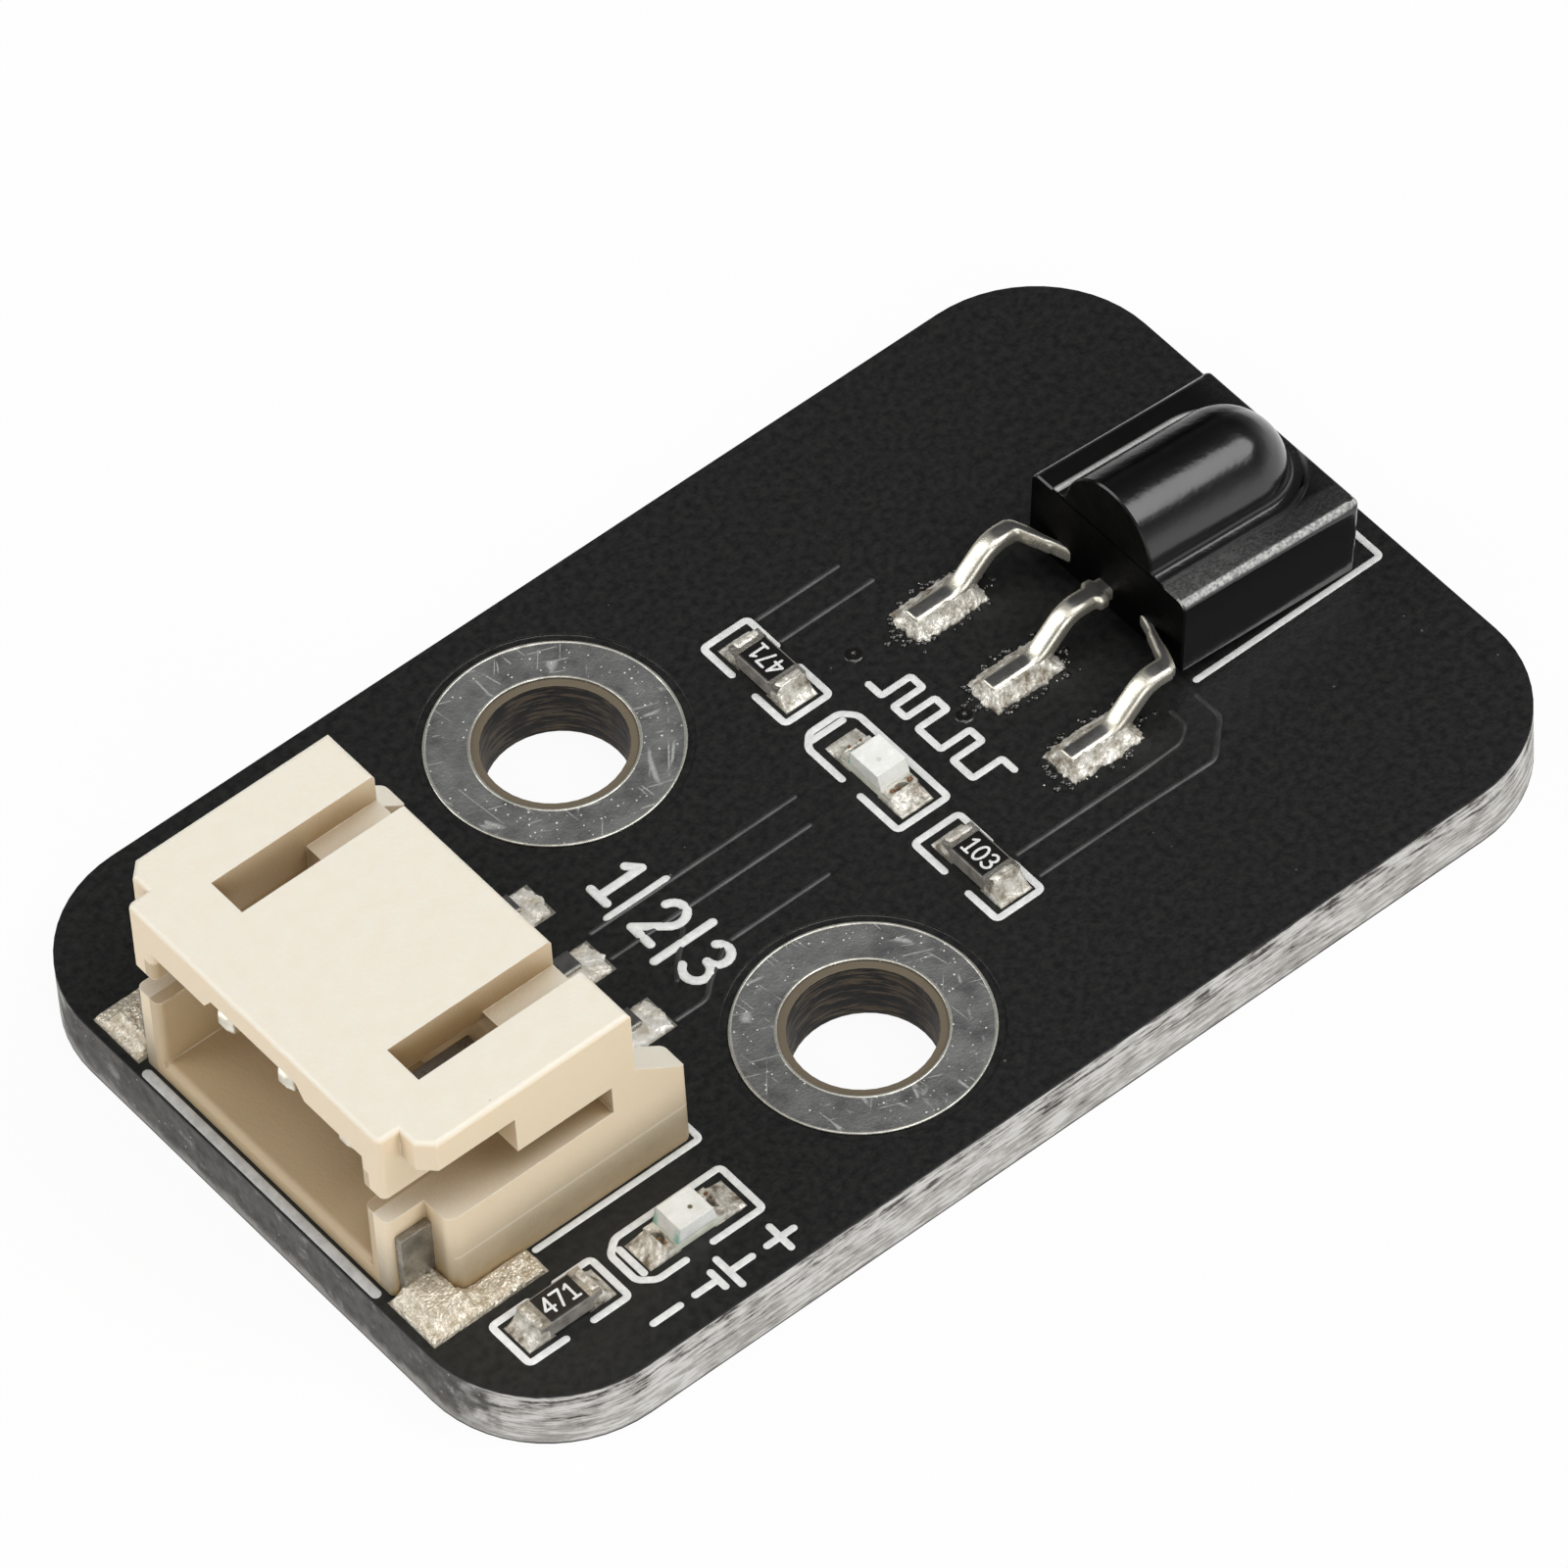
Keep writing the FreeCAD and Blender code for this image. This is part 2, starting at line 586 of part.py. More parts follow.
def lead_sheet():
    """Side form of every lead: foot, rise and the flat that runs into the moulding."""
    foot_z = BOARD_TOP + LEAD_THICKNESS / 2
    bend_x = LEAD_FOOT_X + LEAD_FOOT_LENGTH
    rise = math.tan(math.radians(LEAD_RISE_ANGLE))
    fall = math.tan(TILT)
    entry_x = RECEIVER_FRONT + LEAD_LEVEL * math.sin(TILT)
    entry_z = BOARD_TOP + RECEIVER_LIFT + LEAD_LEVEL * math.cos(TILT)
    top_x = (entry_z + fall * entry_x - foot_z + rise * bend_x) / (rise + fall)
    top_z = foot_z + rise * (top_x - bend_x)
    end_x = RECEIVER_REAR
    corners = [(LEAD_FOOT_X, foot_z), (bend_x, foot_z), (top_x, top_z),
               (end_x, entry_z - fall * (end_x - entry_x))]
    radii = [LEAD_LOWER_BEND_RADIUS, LEAD_UPPER_BEND_RADIUS]
    reach = LEAD_PITCH + LEAD_WIDTH
    profile = bent_strip(corners, radii, LEAD_THICKNESS, lambda u, v: FreeCAD.Vector(u, -reach, v))
    return profile.extrude(FreeCAD.Vector(0, 2 * reach, 0))


def middle_lead_plan():
    """Plan of the middle lead, with cut-bar stubs and the paddle for the chips."""
    half = LEAD_WIDTH / 2
    stub_end = RECEIVER_FRONT - LEAD_STUB_GAP
    stub_start = stub_end - LEAD_STUB_LENGTH
    paddle = RECEIVER_FRONT + PADDLE_START
    return both_halves([
        (LEAD_FOOT_X, half), (stub_start, half), (stub_start, half + LEAD_STUB_WIDTH),
        (stub_end, half + LEAD_STUB_WIDTH), (stub_end, half), (paddle, half),
        (paddle, PADDLE_WIDTH / 2), (paddle + PADDLE_LENGTH, PADDLE_WIDTH / 2)])


def left_lead_plan():
    """Plan of the left lead, which jogs inwards just before it enters the moulding."""
    inner = LEAD_PITCH - LEAD_WIDTH / 2
    outer = LEAD_PITCH + LEAD_WIDTH / 2
    jog_start = RECEIVER_FRONT - LEAD_JOG_GAP
    stub_end = RECEIVER_FRONT - LEAD_STUB_GAP
    stub_start = stub_end - LEAD_STUB_LENGTH
    buried_end = RECEIVER_FRONT + LEAD_BURIED_LENGTH
    return [
        (LEAD_FOOT_X, inner), (jog_start, inner), (RECEIVER_FRONT, LEAD_JOG_INNER),
        (RECEIVER_FRONT + LEAD_JOG_RUN, LEAD_JOG_INNER), (buried_end, PADDLE_WIDTH / 2 + DIE_GAP),
        (buried_end, PADDLE_WIDTH / 2 + DIE_GAP + LEAD_WIDTH),
        (RECEIVER_FRONT + LEAD_JOG_RUN, LEAD_JOG_INNER + LEAD_WIDTH),
        (stub_end, outer), (stub_end, outer + LEAD_STUB_WIDTH), (stub_start, outer + LEAD_STUB_WIDTH),
        (stub_start, outer), (LEAD_FOOT_X, outer)]


def receiver_leads():
    """Left, middle and right lead, cut from one formed sheet."""
    sheet = lead_sheet()
    left = sheet.common(plan_prism(left_lead_plan(), 0.0, SOCKET_TOP))
    middle = sheet.common(plan_prism(middle_lead_plan(), 0.0, SOCKET_TOP))
    return [clean(left), clean(middle), clean(mirrored(left))]


def receiver_chips():
    """Photodiode and amplifier chip, bonded to the paddle, in place."""
    paddle_top = LEAD_LEVEL + LEAD_THICKNESS / 2
    start = PADDLE_START + DIE_GAP
    amplifier = box(start, start + AMPLIFIER_LENGTH, -AMPLIFIER_WIDTH / 2, AMPLIFIER_WIDTH / 2,
                    paddle_top, paddle_top + AMPLIFIER_THICKNESS)
    eye = start + AMPLIFIER_LENGTH + DIE_GAP
    photodiode = box(eye, eye + PHOTODIODE_SIZE, -PHOTODIODE_SIZE / 2, PHOTODIODE_SIZE / 2,
                     paddle_top, paddle_top + PHOTODIODE_THICKNESS)
    return [tilted(photodiode), tilted(amplifier)]


def receiver_body(leads, chips):
    """Moulding closed round its leads and chips."""
    body = tilted(receiver_blank())
    for inner in leads + chips:
        body = body.cut(inner)
    return clean(body)


def resistor():
    """Ceramic body, end caps and coat of a resistor, round the origin."""
    skin = RESISTOR_CAP_THICKNESS
    half_length = CHIP_LENGTH / 2
    half_width = CHIP_WIDTH / 2
    coat_base = RESISTOR_HEIGHT - skin
    ceramic = box(skin - half_length, half_length - skin, -half_width, half_width, skin, coat_base)
    caps = []
    for x0, x1 in ((-half_length, RESISTOR_CAP_LENGTH - half_length),
                   (half_length - RESISTOR_CAP_LENGTH, half_length)):
        caps.append(box(x0, x1, -half_width, half_width, 0.0, RESISTOR_HEIGHT).cut(ceramic))
    coat_half = half_length - RESISTOR_CAP_LENGTH
    coat_side = half_width - RESISTOR_COAT_MARGIN
    coat = box(-coat_half, coat_half, -coat_side, coat_side, coat_base,
               coat_base + RESISTOR_COAT_THICKNESS)
    return {"ceramic": ceramic, "caps": Part.makeCompound(caps), "coat": coat}


def lamp():
    """Base, end terminals, lens and light chip of a lamp, round the origin."""
    skin = LAMP_TERMINAL_THICKNESS
    half_length = CHIP_LENGTH / 2
    half_width = CHIP_WIDTH / 2
    notches = [Part.makeCylinder(LAMP_NOTCH_RADIUS, LAMP_BASE_HEIGHT, FreeCAD.Vector(x, 0, 0))
               for x in (-half_length, half_length)]
    blank = box(-half_length, half_length, -half_width, half_width, 0.0, LAMP_BASE_HEIGHT)
    core = box(skin - half_length, half_length - skin, -half_width, half_width,
               skin, LAMP_BASE_HEIGHT - skin)
    core = core.cut(Part.makeCompound([notch.makeOffsetShape(skin, 1e-6) for notch in notches]))
    terminals = []
    for x0, x1 in ((-half_length, LAMP_TERMINAL_LENGTH - half_length),
                   (half_length - LAMP_TERMINAL_LENGTH, half_length)):
        wrap = blank.common(box(x0, x1, -half_width, half_width, 0.0, LAMP_BASE_HEIGHT))
        terminals.append(wrap.cut(Part.makeCompound(notches)).cut(core))
    inner = half_length - LAMP_TERMINAL_LENGTH
    base = core.common(box(-half_length, half_length, -half_width, half_width, 0.0, LAMP_BASE_HEIGHT))
    base = base.fuse(box(-inner, inner, -half_width, half_width, 0.0, LAMP_BASE_HEIGHT))
    lens_half = LAMP_LENS_LENGTH / 2
    top_half = lens_half - LAMP_LENS_TAPER
    lens = side_prism([(-lens_half, LAMP_BASE_HEIGHT), (lens_half, LAMP_BASE_HEIGHT),
                       (top_half, LAMP_HEIGHT), (-top_half, LAMP_HEIGHT)], -half_width, half_width)
    die_half = LAMP_CHIP_SIZE / 2
    die = box(-die_half, die_half, -die_half, die_half,
              LAMP_BASE_HEIGHT, LAMP_BASE_HEIGHT + LAMP_CHIP_HEIGHT)
    return {"base": clean(base), "terminals": Part.makeCompound(terminals),
            "lens": lens.cut(die), "chip": die}


def solder_fillets(span):
    """Hollow-faced solder wedge at each end of a chip, round the origin."""
    half_length = CHIP_LENGTH / 2
    half_width = CHIP_WIDTH / 2
    wedges = []
    for side in (-1, 1):
        low = FreeCAD.Vector(side * span / 2, -half_width, 0.0)
        high = FreeCAD.Vector(side * half_length, -half_width, FILLET_HEIGHT)
        root = FreeCAD.Vector(side * half_length, -half_width, 0.0)
        middle = (low + high) * 0.5
        sagged = middle + (root - middle) * FILLET_SAG
        face_arc = Part.Arc(low, sagged, high).toShape()
        wire = Part.Wire([Part.makeLine(root, low), face_arc, Part.makeLine(high, root)])
        wedges.append(Part.Face(wire).extrude(FreeCAD.Vector(0, CHIP_WIDTH, 0)))
    return wedges


def solder_mound(x0, x1, y0, y1):
    """Mound of solder over a land, with sloping sides."""
    top = BOARD_TOP + JOINT_HEIGHT
    cut = JOINT_CORNER_CUT
    outline = [(x0 + cut, y0), (x1 - cut, y0), (x1, y0 + cut), (x1, y1 - cut),
               (x1 - cut, y1), (x0 + cut, y1), (x0, y1 - cut), (x0, y0 + cut)]
    blank = plan_prism(outline, BOARD_TOP, top)
    return blank.makeChamfer(JOINT_TAPER, [edge for edge in blank.Edges if is_level_at(edge, top)])


def mounds_round(lands, metal):
    """One mound on each land, cut away where its metal stands in it."""
    mounds = []
    for flat, pieces in zip(lands, metal):
        around = flat.BoundBox
        mound = solder_mound(around.XMin, around.XMax, around.YMin, around.YMax)
        for piece in pieces:
            mound = mound.cut(piece)
        mounds.append(mound)
    return Part.makeCompound(mounds)


def build():
    """All pieces by node name."""
    contacts = [socket_contact(offset) for offset in contact_offsets()]
    anchors = left_and_right(socket_anchor())
    housing = socket_housing(contacts)
    leads = receiver_leads()
    chips = receiver_chips()
    groups = {"contact_lands": contact_lands(), "anchor_lands": anchor_lands(),
              "receiver_lands": receiver_lands(), "chip_lands": chip_lands()}
    all_lands = [flat for group in groups.values() for flat in group]
    pieces = {"circuit_board": circuit_board(all_lands), "socket_housing": housing,
              "receiver_body": receiver_body(leads, chips),
              "photodiode_chip": chips[0], "amplifier_chip": chips[1]}
    for side, (x, y) in zip(("left", "right"), fixing_hole_places()):
        pieces["mounting_ring_" + side] = mounting_rings(x, y)
    for name, group in groups.items():
        pieces[name] = Part.makeCompound(group)
    for number, contact in enumerate(contacts, start=1):
        pieces["socket_contact_" + str(number)] = contact
    for side, anchor in zip(("left", "right"), anchors):
        pieces["socket_anchor_" + side] = anchor
    for side, lead in zip(("left", "middle", "right"), leads):
        pieces["receiver_lead_" + side] = lead
    joints = []
    for name, setback, offset, turn, span in chip_places():
        parts = resistor() if name.startswith("resistor") else lamp()
        for part_name, shape in parts.items():
            pieces[name + "_" + part_name] = seated(shape, setback, offset, turn)
        joints.extend(seated(wedge, setback, offset, turn) for wedge in solder_fillets(span))
    pieces["chip_solder"] = Part.makeCompound(joints)
    pieces["contact_solder"] = mounds_round(contact_lands(), [[contact] for contact in contacts])
    pieces["receiver_solder"] = mounds_round(receiver_lands(), [[lead] for lead in leads])
    pieces["anchor_solder"] = mounds_round(anchor_lands(), [[anchor, housing] for anchor in anchors])
    return pieces


os.makedirs("parts", exist_ok=True)
for node, solid in build().items():
    solid.exportStep("parts/" + node + ".step")
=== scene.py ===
import logging
import math
from collections.abc import Callable, Sequence
from dataclasses import dataclass, field
from enum import Enum

import bmesh
import bpy
import numpy as np
from mathutils import Matrix, Vector


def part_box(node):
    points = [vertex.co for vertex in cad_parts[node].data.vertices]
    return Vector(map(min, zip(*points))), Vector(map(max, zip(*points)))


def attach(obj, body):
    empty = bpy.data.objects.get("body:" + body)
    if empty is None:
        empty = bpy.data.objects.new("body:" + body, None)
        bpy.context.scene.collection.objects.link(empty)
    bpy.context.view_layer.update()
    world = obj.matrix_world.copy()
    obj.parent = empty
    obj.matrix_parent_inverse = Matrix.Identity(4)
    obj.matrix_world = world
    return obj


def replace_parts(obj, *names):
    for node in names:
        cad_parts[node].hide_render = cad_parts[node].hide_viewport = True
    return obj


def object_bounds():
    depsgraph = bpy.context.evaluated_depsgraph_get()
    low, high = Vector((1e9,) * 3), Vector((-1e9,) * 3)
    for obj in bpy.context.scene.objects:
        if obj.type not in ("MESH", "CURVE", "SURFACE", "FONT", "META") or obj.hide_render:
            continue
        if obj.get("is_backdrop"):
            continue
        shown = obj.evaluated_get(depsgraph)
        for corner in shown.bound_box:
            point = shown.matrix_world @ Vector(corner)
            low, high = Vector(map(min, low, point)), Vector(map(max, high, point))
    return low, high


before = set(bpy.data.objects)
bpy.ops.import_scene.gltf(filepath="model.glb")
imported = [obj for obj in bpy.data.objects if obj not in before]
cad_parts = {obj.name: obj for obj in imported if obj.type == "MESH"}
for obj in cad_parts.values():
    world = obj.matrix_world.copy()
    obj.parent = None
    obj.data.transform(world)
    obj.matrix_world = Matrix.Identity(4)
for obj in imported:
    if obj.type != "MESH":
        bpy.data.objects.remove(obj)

# Looks of the infrared receiver module. Lengths are in mm and are turned into metres when a
# mesh is made. +X runs from the socket to the receiver, +Y is left and +Z is up.

LOG = logging.getLogger("infrared_receiver_module")
MM = 0.001
ROOT = "root"
LEAD_PITCH = 2.54
LEADS = (("left", LEAD_PITCH), ("middle", 0.0), ("right", -LEAD_PITCH))


class Slot(Enum):
    """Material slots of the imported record."""

    BOARD = "board"
    HOUSING = "housing"
    EPOXY = "epoxy"
    TIN = "tin"
    SOLDER = "solder"
    SILICON = "silicon"
    CERAMIC = "ceramic"
    COAT = "coat"
    LAMP_BASE = "lamp_base"
    LENS = "lens"


def tone(red: float, green: float, blue: float) -> tuple[float, float, float, float]:
    """Linear colour of a screen colour given from 0 to 255."""
    screen = np.array([red, green, blue]) / 255.0
    linear = np.where(screen <= 0.04045, screen / 12.92, ((screen + 0.055) / 1.055) ** 2.4)
    return (float(linear[0]), float(linear[1]), float(linear[2]), 1.0)


def node_box(node: str) -> tuple[np.ndarray, np.ndarray]:
    """Lowest and highest corner of a CAD node, in mm."""
    low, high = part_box(node)
    return np.array(low) / MM, np.array(high) / MM


# Numpy surfaces


@dataclass
class Shell:
    """Corners and faces of one closed surface."""

    corners: np.ndarray
    faces: list[tuple[int, ...]]


def lattice(points: np.ndarray, wrap_rows: bool = False, wrap_columns: bool = False) -> Shell:
    """Four-sided faces over a grid of points, P(i, j) to P(i + 1, j + 1).

    Args:
        points: grid of shape (rows, columns, 3).
        wrap_rows: joins the last row to the first.
        wrap_columns: joins the last column to the first.

    Returns:
        The surface, with an open rim where nothing wraps.
    """
    rows, columns = points.shape[:2]
    index = np.arange(rows * columns).reshape(rows, columns)
    if wrap_rows:
        index = np.vstack([index, index[:1]])
    if wrap_columns:
        index = np.hstack([index, index[:, :1]])
    quads = np.stack([index[:-1, :-1], index[1:, :-1], index[1:, 1:], index[:-1, 1:]], axis=-1)
    return Shell(points.reshape(-1, 3), [tuple(quad) for quad in quads.reshape(-1, 4).tolist()])


def capped(points: np.ndarray) -> Shell:
    """Tube over a grid whose columns wrap, with a flat face at its first and last row."""
    shell = lattice(points, wrap_columns=True)
    rows, columns = points.shape[:2]
    first = tuple(range(columns))
    last = tuple(range((rows - 1) * columns, rows * columns))
    return Shell(shell.corners, shell.faces + [first, last[::-1]])


def joined(shells: Sequence[Shell]) -> Shell:
    """Several surfaces as one."""
    faces: list[tuple[int, ...]] = []
    start = 0
    for shell in shells:
        faces.extend(tuple(corner + start for corner in face) for face in shell.faces)
        start += len(shell.corners)
    return Shell(np.vstack([shell.corners for shell in shells]), faces)


def ripple(x: np.ndarray, y: np.ndarray, grain: float, seed: int) -> np.ndarray:
    """Soft unevenness: the mean of 16 sine waves in seeded directions, from about -1 to 1.

    Args:
        x: first coordinate.
        y: second coordinate.
        grain: mean length of a wave.
        seed: seed of the directions and phases.

    Returns:
        The unevenness at each point.
    """
    rng = np.random.default_rng(seed)
    heading = rng.uniform(0.0, math.tau, 16)
    phase = rng.uniform(0.0, math.tau, 16)
    pitch = math.tau / grain * rng.uniform(0.6, 1.6, 16)
    along = x[..., None] * np.cos(heading) + y[..., None] * np.sin(heading)
    return np.mean(np.sin(along * pitch + phase), axis=-1) * 2.2


def arc(centre: tuple[float, float], radii: tuple[float, float], start: float, end: float,
        count: int = 13) -> np.ndarray:
    """Points of an ellipse's arc, c + (a cos t, b sin t), t in degrees from start to end."""
    turn = np.radians(np.linspace(start, end, count))
    return np.stack([centre[0] + radii[0] * np.cos(turn), centre[1] + radii[1] * np.sin(turn)], axis=1)


def softened(points: Sequence[tuple[float, float]], radius: float, count: int = 5) -> np.ndarray:
    """Line through plane points with each inner corner P turned into a quadratic curve.

    The curve is (1 - t)^2 A + 2 t (1 - t) P + t^2 B, with A and B at radius before and after P.

    Args:
        points: corners of the line.
        radius: how far from a corner its curve starts.
        count: points on each curve.

    Returns:
        The line's points.
    """
    corner = np.array(points, float)
    middle = corner[1:-1]
    before, after = corner[:-2] - middle, corner[2:] - middle
    start = middle + before * radius / np.linalg.norm(before, axis=1, keepdims=True)
    end = middle + after * radius / np.linalg.norm(after, axis=1, keepdims=True)
    t = np.linspace(0.0, 1.0, count)[None, :, None]
    curve = (1 - t) ** 2 * start[:, None] + 2 * t * (1 - t) * middle[:, None] + t ** 2 * end[:, None]
    return np.vstack([corner[:1], curve.reshape(-1, 2), corner[-1:]])


def stroke(path: np.ndarray, width: float, rise: float, base: float, closed: bool = False,
           power: float = 4.0) -> Shell:
    """Flat line with a crowned top, z = base + rise (1 - |u|^power) at u from -1 to 1 across it.

    Args:
        path: plane points of the middle line.
        width: width of the line.
        rise: height of the crown.
        base: height of the surface it lies on.
        closed: whether the line is a ring.
        power: how flat the crown is.

    Returns:
        The closed surface, which reaches a little under base.
    """
    ahead = np.roll(path, -1, axis=0) - path
    if not closed:
        ahead[-1] = ahead[-2]
    ahead /= np.maximum(np.linalg.norm(ahead, axis=1, keepdims=True), 1e-9)
    behind = np.roll(ahead, 1, axis=0)
    if not closed:
        behind[0] = ahead[0]
    heading = ahead + behind
    heading /= np.linalg.norm(heading, axis=1, keepdims=True)
    stretch = 1.0 / np.clip(np.sum(heading * ahead, axis=1), 0.5, 1.0)
    half = width / 2 * stretch
    if not closed:
        turn = np.radians([90.0, 65.0, 40.0, 15.0])
        reach = np.sin(turn)[:, None] * width / 2
        taper = np.cos(turn) * width / 2
        path = np.vstack([path[:1] - heading[:1] * reach, path, (path[-1:] + heading[-1:] * reach)[::-1]])
        half = np.concatenate([taper, half, taper[::-1]])
        count = len(turn)
        heading = np.vstack([np.repeat(heading[:1], count, axis=0), heading,
                             np.repeat(heading[-1:], count, axis=0)])
    normal = np.stack([-heading[:, 1], heading[:, 0]], axis=1)
    across = np.linspace(-1.0, 1.0, 9)
    crown = rise * (1.0 - np.abs(across) ** power)
    sink = np.full(2, -0.012)
    side = np.concatenate([across, [1.0, -1.0]])
    height = np.concatenate([crown, sink])
    flat = path[:, None] + normal[:, None] * side[None, :, None] * half[:, None, None]
    level = np.minimum(half / (width / 2), 1.0)[:, None]
    z = np.where(height[None, :] > 0, base + height[None, :] * level, base + height[None, :])
    grid = np.concatenate([flat, z[..., None]], axis=-1)
    return lattice(grid, wrap_rows=closed, wrap_columns=True)


def turned(path: np.ndarray, origin: tuple[float, float], degrees: float, scale: float = 1.0) -> np.ndarray:
    """Plane points scaled, turned and moved to an origin."""
    angle = math.radians(degrees)
    matrix = np.array([[math.cos(angle), math.sin(angle)], [-math.sin(angle), math.cos(angle)]])
    return path * scale @ matrix + np.array(origin)


# Materials


class Recipe:
    """Adds nodes to one node tree and links them."""

    def __init__(self, tree: bpy.types.NodeTree) -> None:
        """Work on this tree."""
        self.tree = tree

    def add(self, kind: str, inputs: dict | None = None, **settings: object) -> bpy.types.Node:
        """One node with its settings, and its inputs set to numbers or linked to sockets."""
        made = self.tree.nodes.new(kind)
        for key, value in settings.items():
            setattr(made, key, value)
        for key, value in (inputs or {}).items():
            socket = made.inputs[key]
            if isinstance(value, bpy.types.NodeSocket):
                self.tree.links.new(value, socket)
            else:
                socket.default_value = value
        return made

    def maths(self, operation: str, *values: object) -> bpy.types.NodeSocket:
        """Outcome of a Math node on numbers or sockets."""
        made = self.add("ShaderNodeMath", dict(enumerate(values)), operation=operation)
        return made.outputs[0]

    def times(self, first: object, second: object) -> bpy.types.NodeSocket:
        """Product of two numbers or sockets."""
        return self.maths("MULTIPLY", first, second)

    def plus(self, first: object, second: object) -> bpy.types.NodeSocket:
        """Sum of two numbers or sockets."""
        return self.maths("ADD", first, second)

    def minus(self, first: object, second: object) -> bpy.types.NodeSocket:
        """Difference of two numbers or sockets."""
        return self.maths("SUBTRACT", first, second)

    def most(self, first: object, second: object) -> bpy.types.NodeSocket:
        """Greater of two numbers or sockets."""
        return self.maths("MAXIMUM", first, second)

    def size(self, value: object) -> bpy.types.NodeSocket:
        """Number or socket without its sign."""
        return self.maths("ABSOLUTE", value)

    def distance(self, along: object, across: object) -> bpy.types.NodeSocket:
        """Distance of a plane offset from the middle, the root of along^2 + across^2."""
        return self.maths("SQRT", self.plus(self.times(along, along), self.times(across, across)))

    def parts(self, vector: bpy.types.NodeSocket) -> Sequence[bpy.types.NodeSocket]:
        """The three parts of a vector."""
        return self.add("ShaderNodeSeparateXYZ", {0: vector}).outputs

    def facing(self, kind: str = "Normal") -> bpy.types.NodeSocket:
        """Direction that the surface faces: Normal, or True Normal for each face's own."""
        return self.add("ShaderNodeNewGeometry").outputs[kind]

    def dot(self, first: object, second: object) -> bpy.types.NodeSocket:
        """Dot product of two directions."""
        made = self.add("ShaderNodeVectorMath", {0: first, 1: second}, operation="DOT_PRODUCT")
        return made.outputs["Value"]

    def span(self, value: object, low: float, high: float, to_low: float = 0.0,
             to_high: float = 1.0) -> bpy.types.NodeSocket:
        """Value carried smoothly from the range low to high into the range to_low to to_high."""
        made = self.add("ShaderNodeMapRange", {0: value, 1: low, 2: high, 3: to_low, 4: to_high},
                        interpolation_type="SMOOTHSTEP")
        return made.outputs[0]

    def blend(self, share: object, first: object, second: object) -> bpy.types.NodeSocket:
        """Colour between two colours."""
        made = self.add("ShaderNodeMix", {0: share, 6: first, 7: second}, data_type="RGBA")
        return made.outputs[2]

    def place(self) -> bpy.types.NodeSocket:
        """Object coordinates in mm."""
        where = self.add("ShaderNodeTexCoord").outputs["Object"]
        made = self.add("ShaderNodeVectorMath", {0: where, "Scale": 1.0 / MM}, operation="SCALE")
        return made.outputs[0]

    def stretched(self, scale: tuple[float, float, float], turn: float = 0.0) -> bpy.types.NodeSocket:
        """Object coordinates in mm, turned about Z by degrees and then scaled on each axis."""
        angle = math.radians(turn)
        placed = self.add("ShaderNodeVectorRotate", {"Vector": self.place(), "Angle": angle},
                          rotation_type="Z_AXIS")
        made = self.add("ShaderNodeVectorMath", {0: placed.outputs[0], 1: scale}, operation="MULTIPLY")
        return made.outputs[0]


class Effect(Enum):
    """Surface effects that several materials share, each a node group."""

    MOTTLE = "soft_mottle"
    GRAIN = "fine_grain"
    SPECKS = "small_specks"
    SCRATCHES = "thin_scratches"
    FIBRES = "long_fibres"


